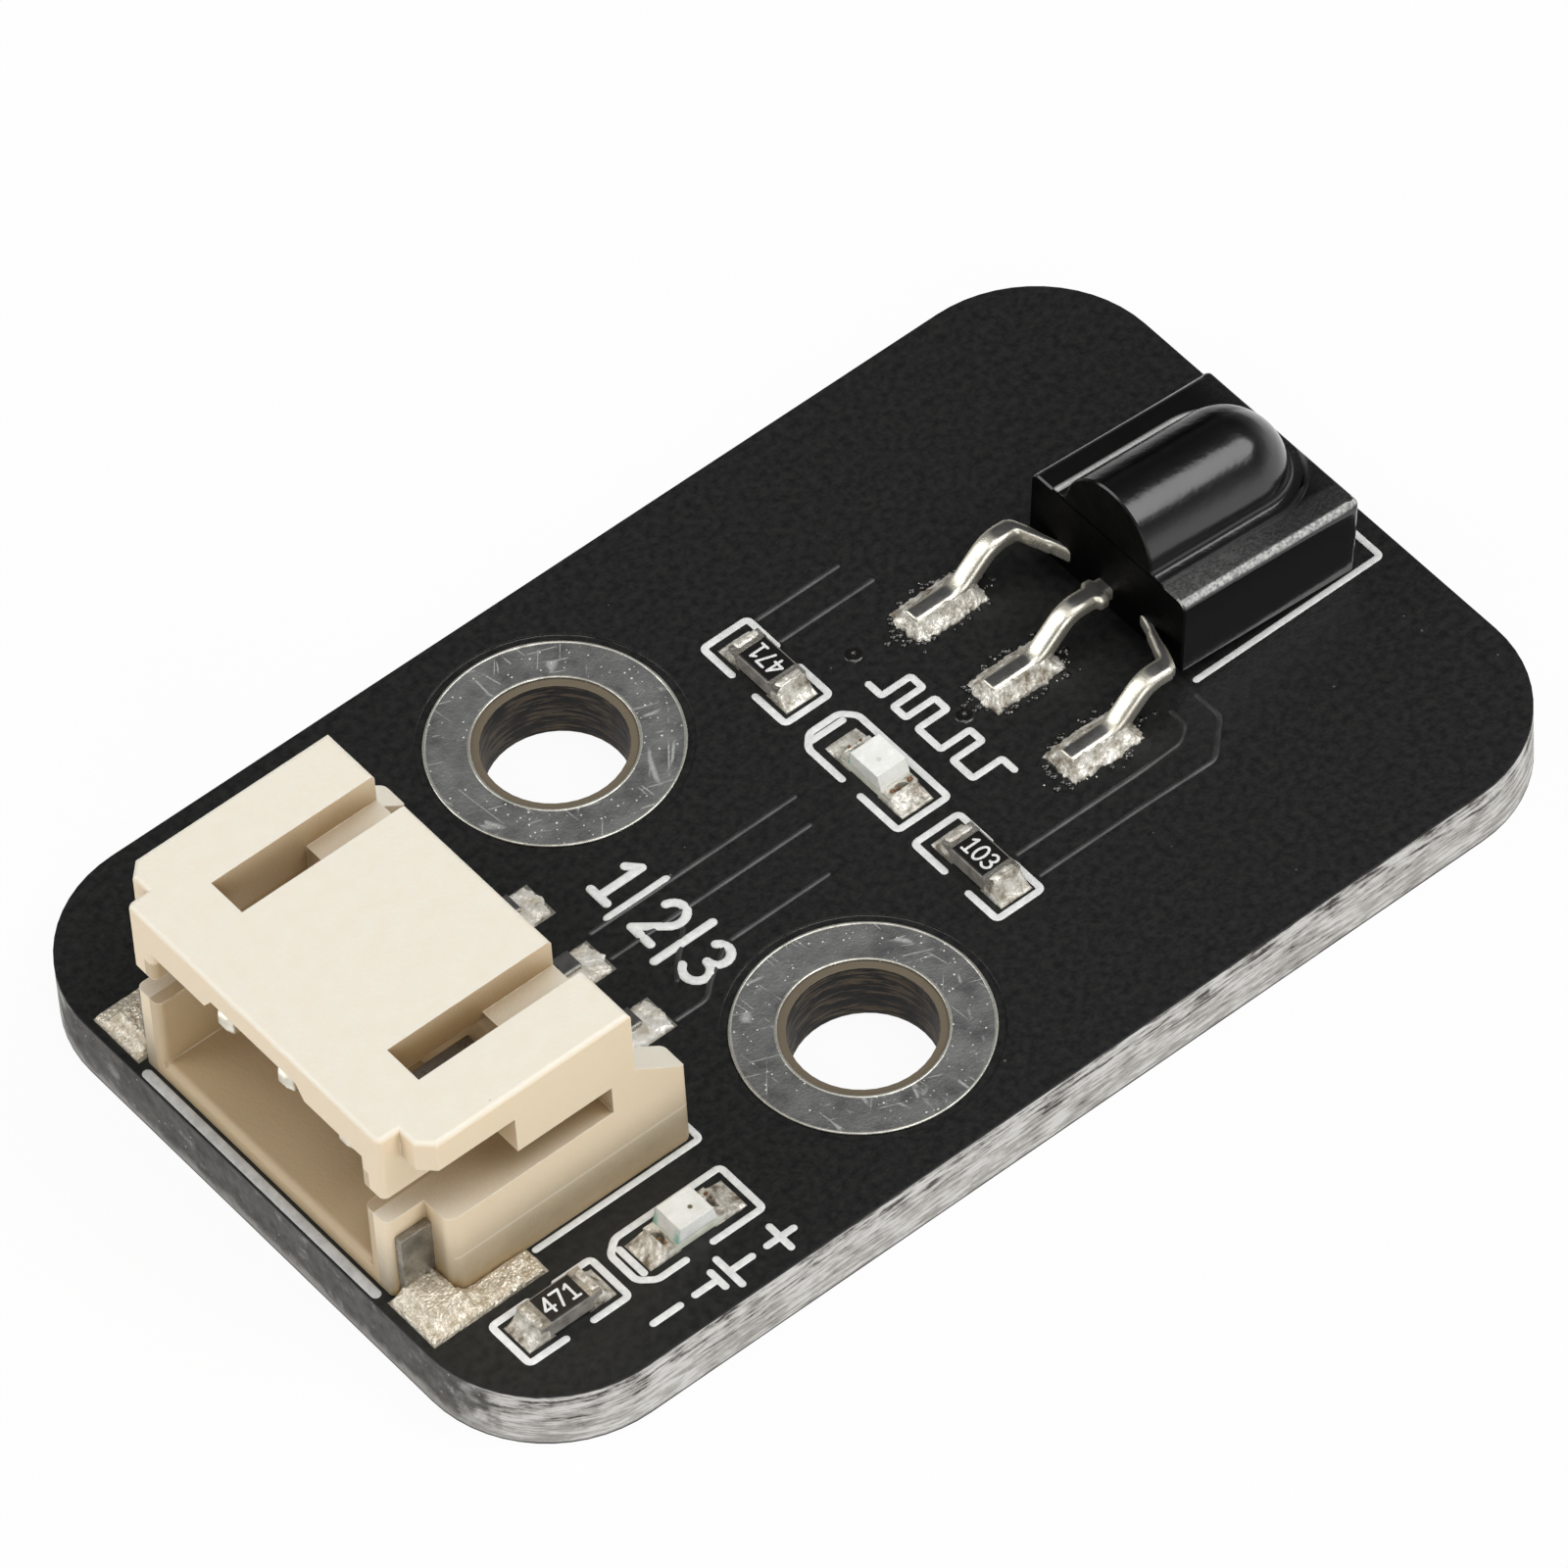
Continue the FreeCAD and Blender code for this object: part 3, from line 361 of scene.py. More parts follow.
@dataclass
class Effects:
    """Builds each shared node group once and places it in materials."""

    trees: dict[Effect, bpy.types.NodeTree] = field(default_factory=dict)

    def open_tree(self, effect: Effect, inputs: dict[str, float],
                  output: str) -> tuple[Recipe, dict, Callable]:
        """New group with named number inputs and one output.

        Args:
            effect: which effect it is.
            inputs: names and first values of the inputs.
            output: name of the output.

        Returns:
            The recipe, the input sockets by name, and a function that sets the output.
        """
        tree = bpy.data.node_groups.new(effect.value, "ShaderNodeTree")
        for name, value in inputs.items():
            socket = tree.interface.new_socket(name=name, in_out="INPUT", socket_type="NodeSocketFloat")
            socket.default_value = value
        tree.interface.new_socket(name=output, in_out="OUTPUT", socket_type="NodeSocketFloat")
        recipe = Recipe(tree)
        entry = recipe.add("NodeGroupInput")
        leave = recipe.add("NodeGroupOutput")
        self.trees[effect] = tree
        return recipe, {name: entry.outputs[name] for name in inputs}, \
            lambda value: tree.links.new(value, leave.inputs[output])

    def build_mottle(self) -> None:
        """Soft clouds, carried from the range of the noise's middle to Low and High."""
        recipe, given, leave = self.open_tree(Effect.MOTTLE, {"Scale": 1.0, "Low": 0.0, "High": 1.0}, "Value")
        noise = recipe.add("ShaderNodeTexNoise", {"Vector": recipe.place(), "Scale": given["Scale"],
                                                  "Detail": 4.0, "Roughness": 0.6})
        made = recipe.add("ShaderNodeMapRange", {0: noise.outputs[0], 1: 0.32, 2: 0.68,
                                                 3: given["Low"], 4: given["High"]})
        leave(made.outputs[0])

    def build_grain(self) -> None:
        """Fine grain: noise with smaller round cells over it."""
        recipe, given, leave = self.open_tree(Effect.GRAIN, {"Scale": 10.0}, "Height")
        where = recipe.place()
        coarse = recipe.add("ShaderNodeTexNoise", {"Vector": where, "Scale": given["Scale"], "Detail": 2.0})
        cell_scale = recipe.times(given["Scale"], 1.7)
        fine = recipe.add("ShaderNodeTexVoronoi", {"Vector": where, "Scale": cell_scale})
        leave(recipe.plus(recipe.times(coarse.outputs[0], 0.7), recipe.times(fine.outputs[0], 0.4)))

    def build_specks(self) -> None:
        """Round specks of several sizes in a share of the cells."""
        inputs = {"Scale": 3.0, "Size": 0.2, "Share": 0.3}
        recipe, given, leave = self.open_tree(Effect.SPECKS, inputs, "Mask")
        cells = recipe.add("ShaderNodeTexVoronoi", {"Vector": recipe.place(), "Scale": given["Scale"]})
        parted = recipe.add("ShaderNodeSeparateColor", {"Color": cells.outputs["Color"]})
        reach = recipe.times(given["Size"], recipe.plus(0.4, recipe.times(parted.outputs[1], 0.6)))
        inside = recipe.add("ShaderNodeMapRange", {0: cells.outputs["Distance"], 1: recipe.times(reach, 0.5),
                                                   2: reach, 3: 1.0, 4: 0.0})
        chosen = recipe.maths("LESS_THAN", parted.outputs[0], given["Share"])
        leave(recipe.times(inside.outputs[0], chosen))

    def build_scratches(self) -> None:
        """Thin lines in three directions, each shown only where a noise is high."""
        recipe, given, leave = self.open_tree(Effect.SCRATCHES, {"Scale": 1.0, "Share": 0.3}, "Mask")
        marks = None
        for turn, seed in ((24.0, 0.0), (-51.0, 7.3), (83.0, 3.1)):
            where = recipe.stretched((0.16, 1.6, 1.0), turn)
            cells = recipe.add("ShaderNodeTexVoronoi", {"Vector": where, "Scale": given["Scale"], "W": seed},
                               voronoi_dimensions="4D", feature="DISTANCE_TO_EDGE")
            noise = recipe.add("ShaderNodeTexNoise", {"Vector": recipe.place(), "W": seed, "Scale": 1.4},
                               noise_dimensions="4D")
            line = recipe.span(cells.outputs[0], 0.004, 0.022, 1.0, 0.0)
            level = recipe.plus(noise.outputs[0], given["Share"])
            shown = recipe.add("ShaderNodeMapRange", {0: level, 1: 0.86, 2: 0.92})
            mark = recipe.times(line, shown.outputs[0])
            marks = mark if marks is None else recipe.most(marks, mark)
        leave(marks)

    def build_fibres(self) -> None:
        """Layers that run along the board, noise drawn out by Length."""
        recipe, given, leave = self.open_tree(Effect.FIBRES, {"Scale": 1.0, "Length": 0.2}, "Value")
        length = recipe.add("ShaderNodeCombineXYZ", {0: given["Length"], 1: given["Length"], 2: 1.0})
        where = recipe.add("ShaderNodeVectorMath", {0: recipe.place(), 1: length.outputs[0]},
                           operation="MULTIPLY")
        noise = recipe.add("ShaderNodeTexNoise", {"Vector": where.outputs[0], "Scale": given["Scale"],
                                                  "Detail": 5.0, "Roughness": 0.65, "Distortion": 0.2})
        leave(noise.outputs[0])

    def build(self) -> None:
        """Make all the groups."""
        self.build_mottle()
        self.build_grain()
        self.build_specks()
        self.build_scratches()
        self.build_fibres()

    def put(self, recipe: Recipe, effect: Effect, **values: float) -> bpy.types.NodeSocket:
        """Place a group in a material with its own values and give its output."""
        made = recipe.add("ShaderNodeGroup", node_tree=self.trees[effect])
        for name, value in values.items():
            made.inputs[name.capitalize()].default_value = value
        return made.outputs[0]


EFFECTS = Effects()


def first_node(tree: bpy.types.NodeTree, kind: str) -> bpy.types.Node:
    """First node of a kind in a tree."""
    return next(node for node in tree.nodes if node.type == kind)


def open_material(name: str) -> tuple[bpy.types.Material, Recipe, bpy.types.Node]:
    """New material with one Principled shader."""
    material = bpy.data.materials.new(name)
    material.use_nodes = True
    recipe = Recipe(material.node_tree)
    return material, recipe, first_node(material.node_tree, "BSDF_PRINCIPLED")


def set_inputs(recipe: Recipe, shader: bpy.types.Node, **values: object) -> None:
    """Set or link inputs of a shader, named with _ for a space."""
    for name, value in values.items():
        socket = shader.inputs[name.replace("_", " ")]
        if isinstance(value, bpy.types.NodeSocket):
            recipe.tree.links.new(value, socket)
        else:
            socket.default_value = value


def relief(recipe: Recipe, height: bpy.types.NodeSocket, depth: float, rounding: float = 0.0,
           strength: float = 1.0) -> bpy.types.NodeSocket:
    """Normal of a relief of the given depth in mm, over edges that are rounded by a radius in mm."""
    inputs: dict = {"Height": height, "Distance": depth * MM, "Strength": strength}
    if rounding:
        inputs["Normal"] = recipe.add("ShaderNodeBevel", {"Radius": rounding * MM}, samples=6).outputs[0]
    return recipe.add("ShaderNodeBump", inputs).outputs[0]


@dataclass(frozen=True)
class BoardFinish:
    """Black mask over a glass-fibre board whose cut edges and hole walls show the laminate."""

    hole_x: float
    hole_y: float
    front_x: float
    thickness: float
    name: str = "black_mask_board"
    mask: tuple = tone(27, 27, 28)
    ink_dark: tuple = tone(22, 23, 23)
    ink_pale: tuple = tone(37, 38, 36)
    dust: tuple = tone(120, 118, 112)
    laminate: tuple = tone(112, 102, 86)
    pale: tuple = tone(212, 210, 206)
    mid: tuple = tone(158, 155, 150)
    dark: tuple = tone(66, 62, 58)
    worn: tuple = tone(96, 94, 90)
    front_dark: tuple = tone(62, 61, 58)
    brown: tuple = tone(92, 80, 66)
    shade: tuple = tone(20, 18, 17)
    hole_reach: float = 1.9
    front_reach: float = 0.5
    mask_depth: float = 0.07
    soft: float = 0.05
    specular: float = 0.3
    grain_depth: float = 0.008
    rounding: float = 0.04

    def edge(self, recipe: Recipe, place: Sequence[bpy.types.NodeSocket]) -> bpy.types.NodeSocket:
        """Colour of the cut edge: streaked laminate, but dark grey towards the socket, partly the edge's own
        dirt and partly painted shade.

        Args:
            recipe: recipe of the material.
            place: the three parts of the place in mm.

        Returns:
            The colour.
        """
        streaks = EFFECTS.put(recipe, Effect.FIBRES, scale=10.0, length=0.09)
        fine = EFFECTS.put(recipe, Effect.FIBRES, scale=34.0, length=0.08)
        fibre = recipe.plus(recipe.times(streaks, 0.65), recipe.times(fine, 0.35))
        blotch = EFFECTS.put(recipe, Effect.MOTTLE, scale=1.6, low=-0.05, high=0.05)
        fibre = recipe.plus(fibre, blotch)
        colour = recipe.blend(recipe.span(fibre, 0.44, 0.58), self.mid, self.pale)
        low = recipe.span(place[2], 0.3, 1.4, 0.4, 0.475)
        colour = recipe.blend(recipe.span(recipe.minus(low, fibre), 0.0, 0.05), colour, self.dark)
        # Towards the socket the edge is dark grey with pale specks and paler near its foot, partly its own
        # dirt and partly painted shade.
        dirt = EFFECTS.put(recipe, Effect.MOTTLE, scale=2.6)
        worn = recipe.blend(dirt, self.front_dark, self.worn)
        specks = EFFECTS.put(recipe, Effect.SPECKS, scale=4.5, size=0.16, share=0.35)
        worn = recipe.blend(recipe.times(specks, 0.7), worn, self.pale)
        foot = recipe.span(recipe.plus(place[2], recipe.times(blotch, 3.0)), 0.4, 0.05)
        worn = recipe.blend(foot, worn, self.mid)
        front = recipe.span(recipe.plus(place[0], recipe.times(blotch, 4.0)),
                            self.front_x + self.front_reach, self.front_x + self.soft)
        return recipe.blend(front, colour, worn)

    def material(self) -> bpy.types.Material:
        """Make the material."""
        material, recipe, shader = open_material(self.name)
        normal = recipe.parts(recipe.facing("True Normal"))
        place = recipe.parts(recipe.place())
        upright = recipe.size(normal[2])
        cut = recipe.span(upright, 0.35, 0.65, 1.0, 0.0)
        edge = self.edge(recipe, place)
        level = recipe.size(recipe.minus(place[2], self.thickness / 2))
        top = self.thickness / 2
        skin = recipe.span(level, top - self.mask_depth, top - 0.02)
        edge = recipe.blend(skin, edge, self.mask)
        aside = recipe.minus(recipe.size(place[1]), self.hole_y)
        along = recipe.minus(place[0], self.hole_x)
        radius = recipe.distance(aside, along)
        in_hole = recipe.span(radius, self.hole_reach, self.hole_reach - self.soft)
        drilled = EFFECTS.put(recipe, Effect.FIBRES, scale=12.0, length=0.1)
        wall = recipe.blend(recipe.span(drilled, 0.46, 0.62), self.shade, self.brown)
        edge = recipe.blend(in_hole, edge, wall)
        mottle = EFFECTS.put(recipe, Effect.MOTTLE, scale=5.0)
        ink = recipe.blend(mottle, self.ink_dark, self.ink_pale)
        specks = EFFECTS.put(recipe, Effect.SPECKS, scale=1.3, size=0.05, share=0.35)
        ink = recipe.blend(recipe.times(specks, 0.55), ink, self.dust)
        bare = recipe.times(in_hole, recipe.span(upright, 0.35, 0.65))
        ink = recipe.blend(bare, ink, self.laminate)
        colour = recipe.blend(cut, ink, edge)
        grain = EFFECTS.put(recipe, Effect.GRAIN, scale=7.0)
        rough = recipe.plus(recipe.times(cut, 0.3), recipe.span(mottle, 0.0, 1.0, 0.34, 0.42))
        set_inputs(recipe, shader, Base_Color=colour, Roughness=rough, Specular_IOR_Level=self.specular,
                   Normal=relief(recipe, grain, self.grain_depth, self.rounding))
        return material


@dataclass(frozen=True)
class MetalFinish:
    """Tin or solder: cloudy, with specks and scratches, over soft relief.

    With flat_shade set, faces that look straight up take that darker colour, a painted reflection of the
    dull sky overhead, and above knee_z they are less metallic too, as the flats of the formed leads are.
    """

    name: str
    colour: tuple = tone(176, 176, 174)
    shade: tuple = tone(120, 120, 120)
    roughness: float = 0.32
    spread: float = 0.12
    mottle_scale: float = 3.0
    grain_scale: float = 14.0
    grain_depth: float = 0.004
    speck_scale: float = 3.4
    speck_size: float = 0.13
    speck_share: float = 0.0
    scratch_share: float = 0.0
    rounding: float = 0.0
    metallic: float = 1.0
    sparkle: tuple = tone(235, 235, 230)
    scratch: tuple = tone(225, 225, 222)
    flat_shade: tuple | None = None
    flat_metallic: float = 0.25
    knee_z: float = 3.0

    def material(self) -> bpy.types.Material:
        """Make the material."""
        material, recipe, shader = open_material(self.name)
        mottle = EFFECTS.put(recipe, Effect.MOTTLE, scale=self.mottle_scale)
        colour = recipe.blend(mottle, self.shade, self.colour)
        metallic: object = self.metallic
        if self.speck_share:
            specks = EFFECTS.put(recipe, Effect.SPECKS, scale=self.speck_scale, size=self.speck_size,
                                 share=self.speck_share)
            colour = recipe.blend(specks, colour, self.sparkle)
            metallic = recipe.span(specks, 0.0, 1.0, self.metallic, 0.0)
        if self.scratch_share:
            lines = EFFECTS.put(recipe, Effect.SCRATCHES, scale=1.0, share=self.scratch_share)
            colour = recipe.blend(recipe.times(lines, 0.6), colour, self.scratch)
        # Painted reflection: faces that look straight up take the darker flat colour.
        if self.flat_shade:
            normal = recipe.parts(recipe.facing())
            flat = recipe.span(normal[2], 0.965, 0.995)
            place = recipe.parts(recipe.place())
            raised = recipe.span(place[2], self.knee_z - 0.2, self.knee_z + 0.2)
            colour = recipe.blend(flat, colour, self.flat_shade)
            metallic = recipe.span(recipe.times(flat, raised), 0.0, 1.0, self.metallic, self.flat_metallic)
        grain = EFFECTS.put(recipe, Effect.GRAIN, scale=self.grain_scale)
        rough = recipe.span(mottle, 0.0, 1.0, self.roughness + self.spread, self.roughness - self.spread)
        set_inputs(recipe, shader, Base_Color=colour, Metallic=metallic, Roughness=rough,
                   Normal=relief(recipe, grain, self.grain_depth, self.rounding))
        return material


@dataclass(frozen=True)
class PlasticFinish:
    """Plastic, ceramic, ink or resin: faint mottle in colour and a fine grain."""

    name: str
    colour: tuple
    shade: tuple
    roughness: float = 0.45
    specular: float = 0.5
    mottle_scale: float = 1.2
    grain_scale: float = 20.0
    grain_depth: float = 0.003
    rounding: float = 0.04
    spread: float = 0.04

    def material(self) -> bpy.types.Material:
        """Make the material."""
        material, recipe, shader = open_material(self.name)
        mottle = EFFECTS.put(recipe, Effect.MOTTLE, scale=self.mottle_scale)
        grain = EFFECTS.put(recipe, Effect.GRAIN, scale=self.grain_scale)
        rough = recipe.span(mottle, 0.0, 1.0, self.roughness + self.spread, self.roughness - self.spread)
        set_inputs(recipe, shader, Base_Color=recipe.blend(mottle, self.shade, self.colour), Roughness=rough,
                   Specular_IOR_Level=self.specular,
                   Normal=relief(recipe, grain, self.grain_depth, self.rounding))
        return material


@dataclass(frozen=True)
class NylonFinish:
    """Cream nylon: tan on its sides, with a paler lit copy painted on faces that look up and painted brown
    shade in its recesses.

    The walls beside the cavity have painted shade below the mould line at line_z, the cavity under
    roof_z has painted brown shade throughout, and sharp edges are paler in patches, partly chipped
    nylon and partly a painted highlight.
    """

    name: str = "cream_nylon"
    lit_top: tuple = tone(241, 235, 220)
    aside: tuple = tone(237, 218, 187)
    low: tuple = tone(146, 136, 116)
    deep: tuple = tone(172, 146, 106)
    chip_and_highlight: tuple = tone(255, 248, 232)
    line_z: float = 2.75
    wall_y: float = 4.9
    cavity_y: float = 3.7
    roof_z: float = 5.4
    sky_reach: float = 3.0
    line_half: float = 0.05
    chip_reach: float = 0.05
    specular: float = 0.5
    subsurface: float = 0.08
    subsurface_reach: float = 0.3
    grain_depth: float = 0.008
    rounding: float = 0.022

    def material(self) -> bpy.types.Material:
        """Make the material."""
        material, recipe, shader = open_material(self.name)
        normal = recipe.parts(recipe.facing("True Normal"))
        place = recipe.parts(recipe.place())
        cloud = EFFECTS.put(recipe, Effect.MOTTLE, scale=0.9, low=-0.1, high=0.1)
        # Painted light: faces that look up, high on the housing, take the paler lit colour.
        lit = recipe.span(recipe.plus(normal[2], cloud), 0.1, 0.85)
        lit = recipe.times(lit, recipe.span(place[2], self.line_z, self.line_z + 1.6, 0.15, 1.0))
        # Painted shade: the walls beside the cavity darken towards the board.
        lower = recipe.span(place[2], self.line_z + 1.1, self.line_z - 1.0, 0.0, 0.9)
        beside = recipe.maths("GREATER_THAN", recipe.size(place[1]), self.cavity_y)
        wall = recipe.blend(recipe.times(lower, beside), self.aside, self.low)
        colour = recipe.blend(lit, wall, self.lit_top)
        flow = EFFECTS.put(recipe, Effect.MOTTLE, scale=2.2, low=0.0, high=0.16)
        colour = recipe.blend(flow, colour, self.aside)
        # Painted shade: recesses that see little open sky turn brown.
        open_sky = recipe.add("ShaderNodeAmbientOcclusion", {"Distance": self.sky_reach * MM},
                              samples=8).outputs["AO"]
        colour = recipe.blend(recipe.span(open_sky, 0.8, 0.25), colour, self.deep)
        # Painted shade: the cavity under the roof is browner throughout.
        inside = recipe.times(recipe.minus(1.0, beside),
                              recipe.span(place[2], self.roof_z, self.roof_z - 0.1, 0.0, 0.68))
        colour = recipe.blend(inside, colour, self.deep)
        far = recipe.maths("GREATER_THAN", recipe.size(place[1]), self.wall_y)
        gap = recipe.size(recipe.minus(place[2], self.line_z))
        line = recipe.times(far, recipe.span(gap, self.line_half, self.line_half - 0.03))
        colour = recipe.blend(recipe.times(line, 0.35), colour, self.lit_top)
        specks = EFFECTS.put(recipe, Effect.SPECKS, scale=1.1, size=0.04, share=0.3)
        colour = recipe.blend(recipe.times(specks, 0.35), colour, self.deep)
        # Sharp edges turn paler in patches, partly chipped nylon and partly a painted highlight.
        worn = recipe.add("ShaderNodeBevel", {"Radius": self.chip_reach * MM}, samples=6).outputs[0]
        bent = recipe.dot(worn, recipe.facing("True Normal"))
        patchy = EFFECTS.put(recipe, Effect.MOTTLE, scale=3.0, low=0.1, high=0.9)
        edge = recipe.times(recipe.span(bent, 0.985, 0.9), patchy)
        colour = recipe.blend(edge, colour, self.chip_and_highlight)
        grain = EFFECTS.put(recipe, Effect.GRAIN, scale=9.0)
        set_inputs(recipe, shader, Base_Color=colour, Roughness=recipe.span(flow, 0.0, 0.16, 0.44, 0.38),
                   Specular_IOR_Level=self.specular, Subsurface_Weight=self.subsurface,
                   Subsurface_Scale=self.subsurface_reach * MM,
                   Normal=relief(recipe, grain, self.grain_depth, self.rounding))
        return material


@dataclass(frozen=True)
class EpoxyFinish:
    """Black moulding compound: gloss, but satin and grainy on its right shoulder and rear, which are grey in
    a speckle that is partly dust and partly painted sheen.

    Two lines carry a painted highlight, a pale colour that stands in for reflections of the lamps:
    the lip at the dome's foot, most on the left, and the rounded edge of the right shoulder. The lip
    is the ring at dome_reach round the dome's end at hub_x, which runs forward from there. The front
    and the dome's left flank have no coat and mirror black.
    """

    name: str = "black_epoxy"
    colour: tuple = tone(8, 8, 9)
    dust: tuple = tone(84, 84, 83)
    painted_highlight: tuple = tone(196, 196, 193)
    gloss: float = 0.19
    satin: float = 0.42
    coat: float = 0.7
    coat_roughness: float = 0.16
    grain_depth: float = 0.02
    dome_reach: float = 1.82
    flank_reach: float = 1.42
    lip_inner: float = 1.65
    edge_y: float = 2.2
    hub_x: float = 11.83
    rear_x: float = 12.9

    def painted_highlight_lines(self, recipe: Recipe, normal: Sequence[bpy.types.NodeSocket],
                   place: Sequence[bpy.types.NodeSocket],
                   speckle: bpy.types.NodeSocket) -> tuple[bpy.types.NodeSocket, bpy.types.NodeSocket]:
        """Masks of the painted highlights on the rounded edge of the right shoulder and on the lip.

        Args:
            recipe: recipe of the material.
            normal: the three parts of the direction that the surface faces.
            place: the three parts of the place in mm.
            speckle: fine grain from 0 to 1.

        Returns:
            The mask of the edge and the mask of the lip.
        """
        bend = recipe.times(recipe.span(normal[2], 0.45, 0.7), recipe.span(normal[2], 0.985, 0.93))
        outer = recipe.span(place[1], -self.edge_y, -self.edge_y - 0.05)
        edge = recipe.times(recipe.times(bend, outer), speckle)
        back = recipe.most(recipe.minus(place[0], self.hub_x), 0.0)
        reach = recipe.distance(back, place[1])
        lip = recipe.times(recipe.span(reach, self.lip_inner, self.lip_inner + 0.09),
                           recipe.span(reach, self.dome_reach, self.dome_reach - 0.07))
        return edge, recipe.times(lip, recipe.span(place[1], -1.4, 0.6, 0.05, 0.7))

    def material(self) -> bpy.types.Material:
        """Make the material."""
        material, recipe, shader = open_material(self.name)
        normal = recipe.parts(recipe.facing())
        place = recipe.parts(recipe.place())
        right = recipe.span(place[1], 0.2 - self.dome_reach, -self.dome_reach)
        rear = recipe.span(place[0], self.rear_x - 0.3, self.rear_x + 0.5, 0.0, 0.5)
        flat = recipe.span(normal[2], 0.3, 0.6)
        matt = recipe.times(recipe.most(right, rear), flat)
        front = recipe.span(normal[0], -0.55, -0.85)
        mottle = EFFECTS.put(recipe, Effect.MOTTLE, scale=1.4, low=-0.04, high=0.05)
        rough = recipe.plus(recipe.span(matt, 0.0, 1.0, self.gloss, self.satin), mottle)
        rough = recipe.plus(rough, recipe.times(front, 0.35))
        wave = EFFECTS.put(recipe, Effect.MOTTLE, scale=2.0)
        grain = EFFECTS.put(recipe, Effect.GRAIN, scale=9.0)
        fine = recipe.times(grain, recipe.span(matt, 0.0, 1.0, 0.12, 1.1))
        height = recipe.plus(recipe.times(wave, 0.3), fine)
        speckle = recipe.span(grain, 0.35, 0.75, 0.35, 1.0)
        # Partly dust and partly painted sheen: a grey speckle on the matt parts, lighter towards the front.
        fading = recipe.span(place[0], self.rear_x - 0.5, self.rear_x - 3.5, 0.25, 1.0)
        dust_and_sheen = recipe.times(matt, recipe.times(speckle, fading))
        colour = recipe.blend(dust_and_sheen, self.colour, self.dust)
        edge, lip = self.painted_highlight_lines(recipe, normal, place, speckle)
        # Painted highlights: the pale colour on the shoulder's edge and the lip stands in for reflections of
        # the lamps.
        colour = recipe.blend(edge, colour, self.painted_highlight)
        colour = recipe.blend(recipe.times(lip, flat), colour, self.painted_highlight)
        left = recipe.times(recipe.span(normal[1], 0.12, 0.3),
                            recipe.maths("LESS_THAN", recipe.size(place[1]), self.flank_reach))
        dull = recipe.most(front, left)
        set_inputs(recipe, shader, Base_Color=colour, Roughness=rough, Metallic=dull,
                   Coat_Roughness=self.coat_roughness,
                   Coat_Weight=recipe.span(recipe.most(dull, matt), 0.0, 1.0, self.coat, 0.0),
                   Normal=relief(recipe, height, self.grain_depth))
        return material


@dataclass(frozen=True)
class LampFinish:
    """Milky resin of a lamp, through which its chip shows dark; green at its marked end."""

    name: str
    middle: tuple
    ahead: tuple
    show: float
    body: tuple = tone(255, 255, 252)
    cloud: tuple = tone(234, 235, 226)
    tint: tuple = tone(118, 196, 170)
    chip: tuple = tone(104, 96, 72)
    chip_along: float = -0.1
    chip_across: float = 0.06
    grain_depth: float = 0.006
    rounding: float = 0.06
    refraction: float = 1.5

    def material(self) -> bpy.types.Material:
        """Make the material."""
        material, recipe, shader = open_material(self.name)
        place = recipe.add("ShaderNodeVectorMath", {0: recipe.place(), 1: (*self.middle, 0.0)},
                           operation="SUBTRACT").outputs[0]
        along = recipe.dot(place, (*self.ahead, 0.0))
        across = recipe.dot(place, (-self.ahead[1], self.ahead[0], 0.0))
        mottle = EFFECTS.put(recipe, Effect.MOTTLE, scale=3.4, low=0.0, high=0.8)
        colour = recipe.blend(mottle, self.body, self.cloud)
        reach = recipe.distance(recipe.minus(along, self.chip_along), recipe.minus(across, self.chip_across))
        spot = recipe.times(recipe.span(reach, 0.08, 0.03), self.show)
        colour = recipe.blend(spot, colour, self.chip)
        corner = recipe.times(recipe.span(along, 0.42, 0.52), recipe.span(recipe.size(across), 0.2, 0.34))
        colour = recipe.blend(recipe.times(corner, 0.75), colour, self.tint)
        grain = EFFECTS.put(recipe, Effect.GRAIN, scale=10.0)
        set_inputs(recipe, shader, Base_Color=colour, Roughness=recipe.span(mottle, 0.0, 0.8, 0.2, 0.3),
                   Transmission_Weight=0.08 * self.show, IOR=self.refraction,
                   Normal=relief(recipe, grain, self.grain_depth, self.rounding))
        return material


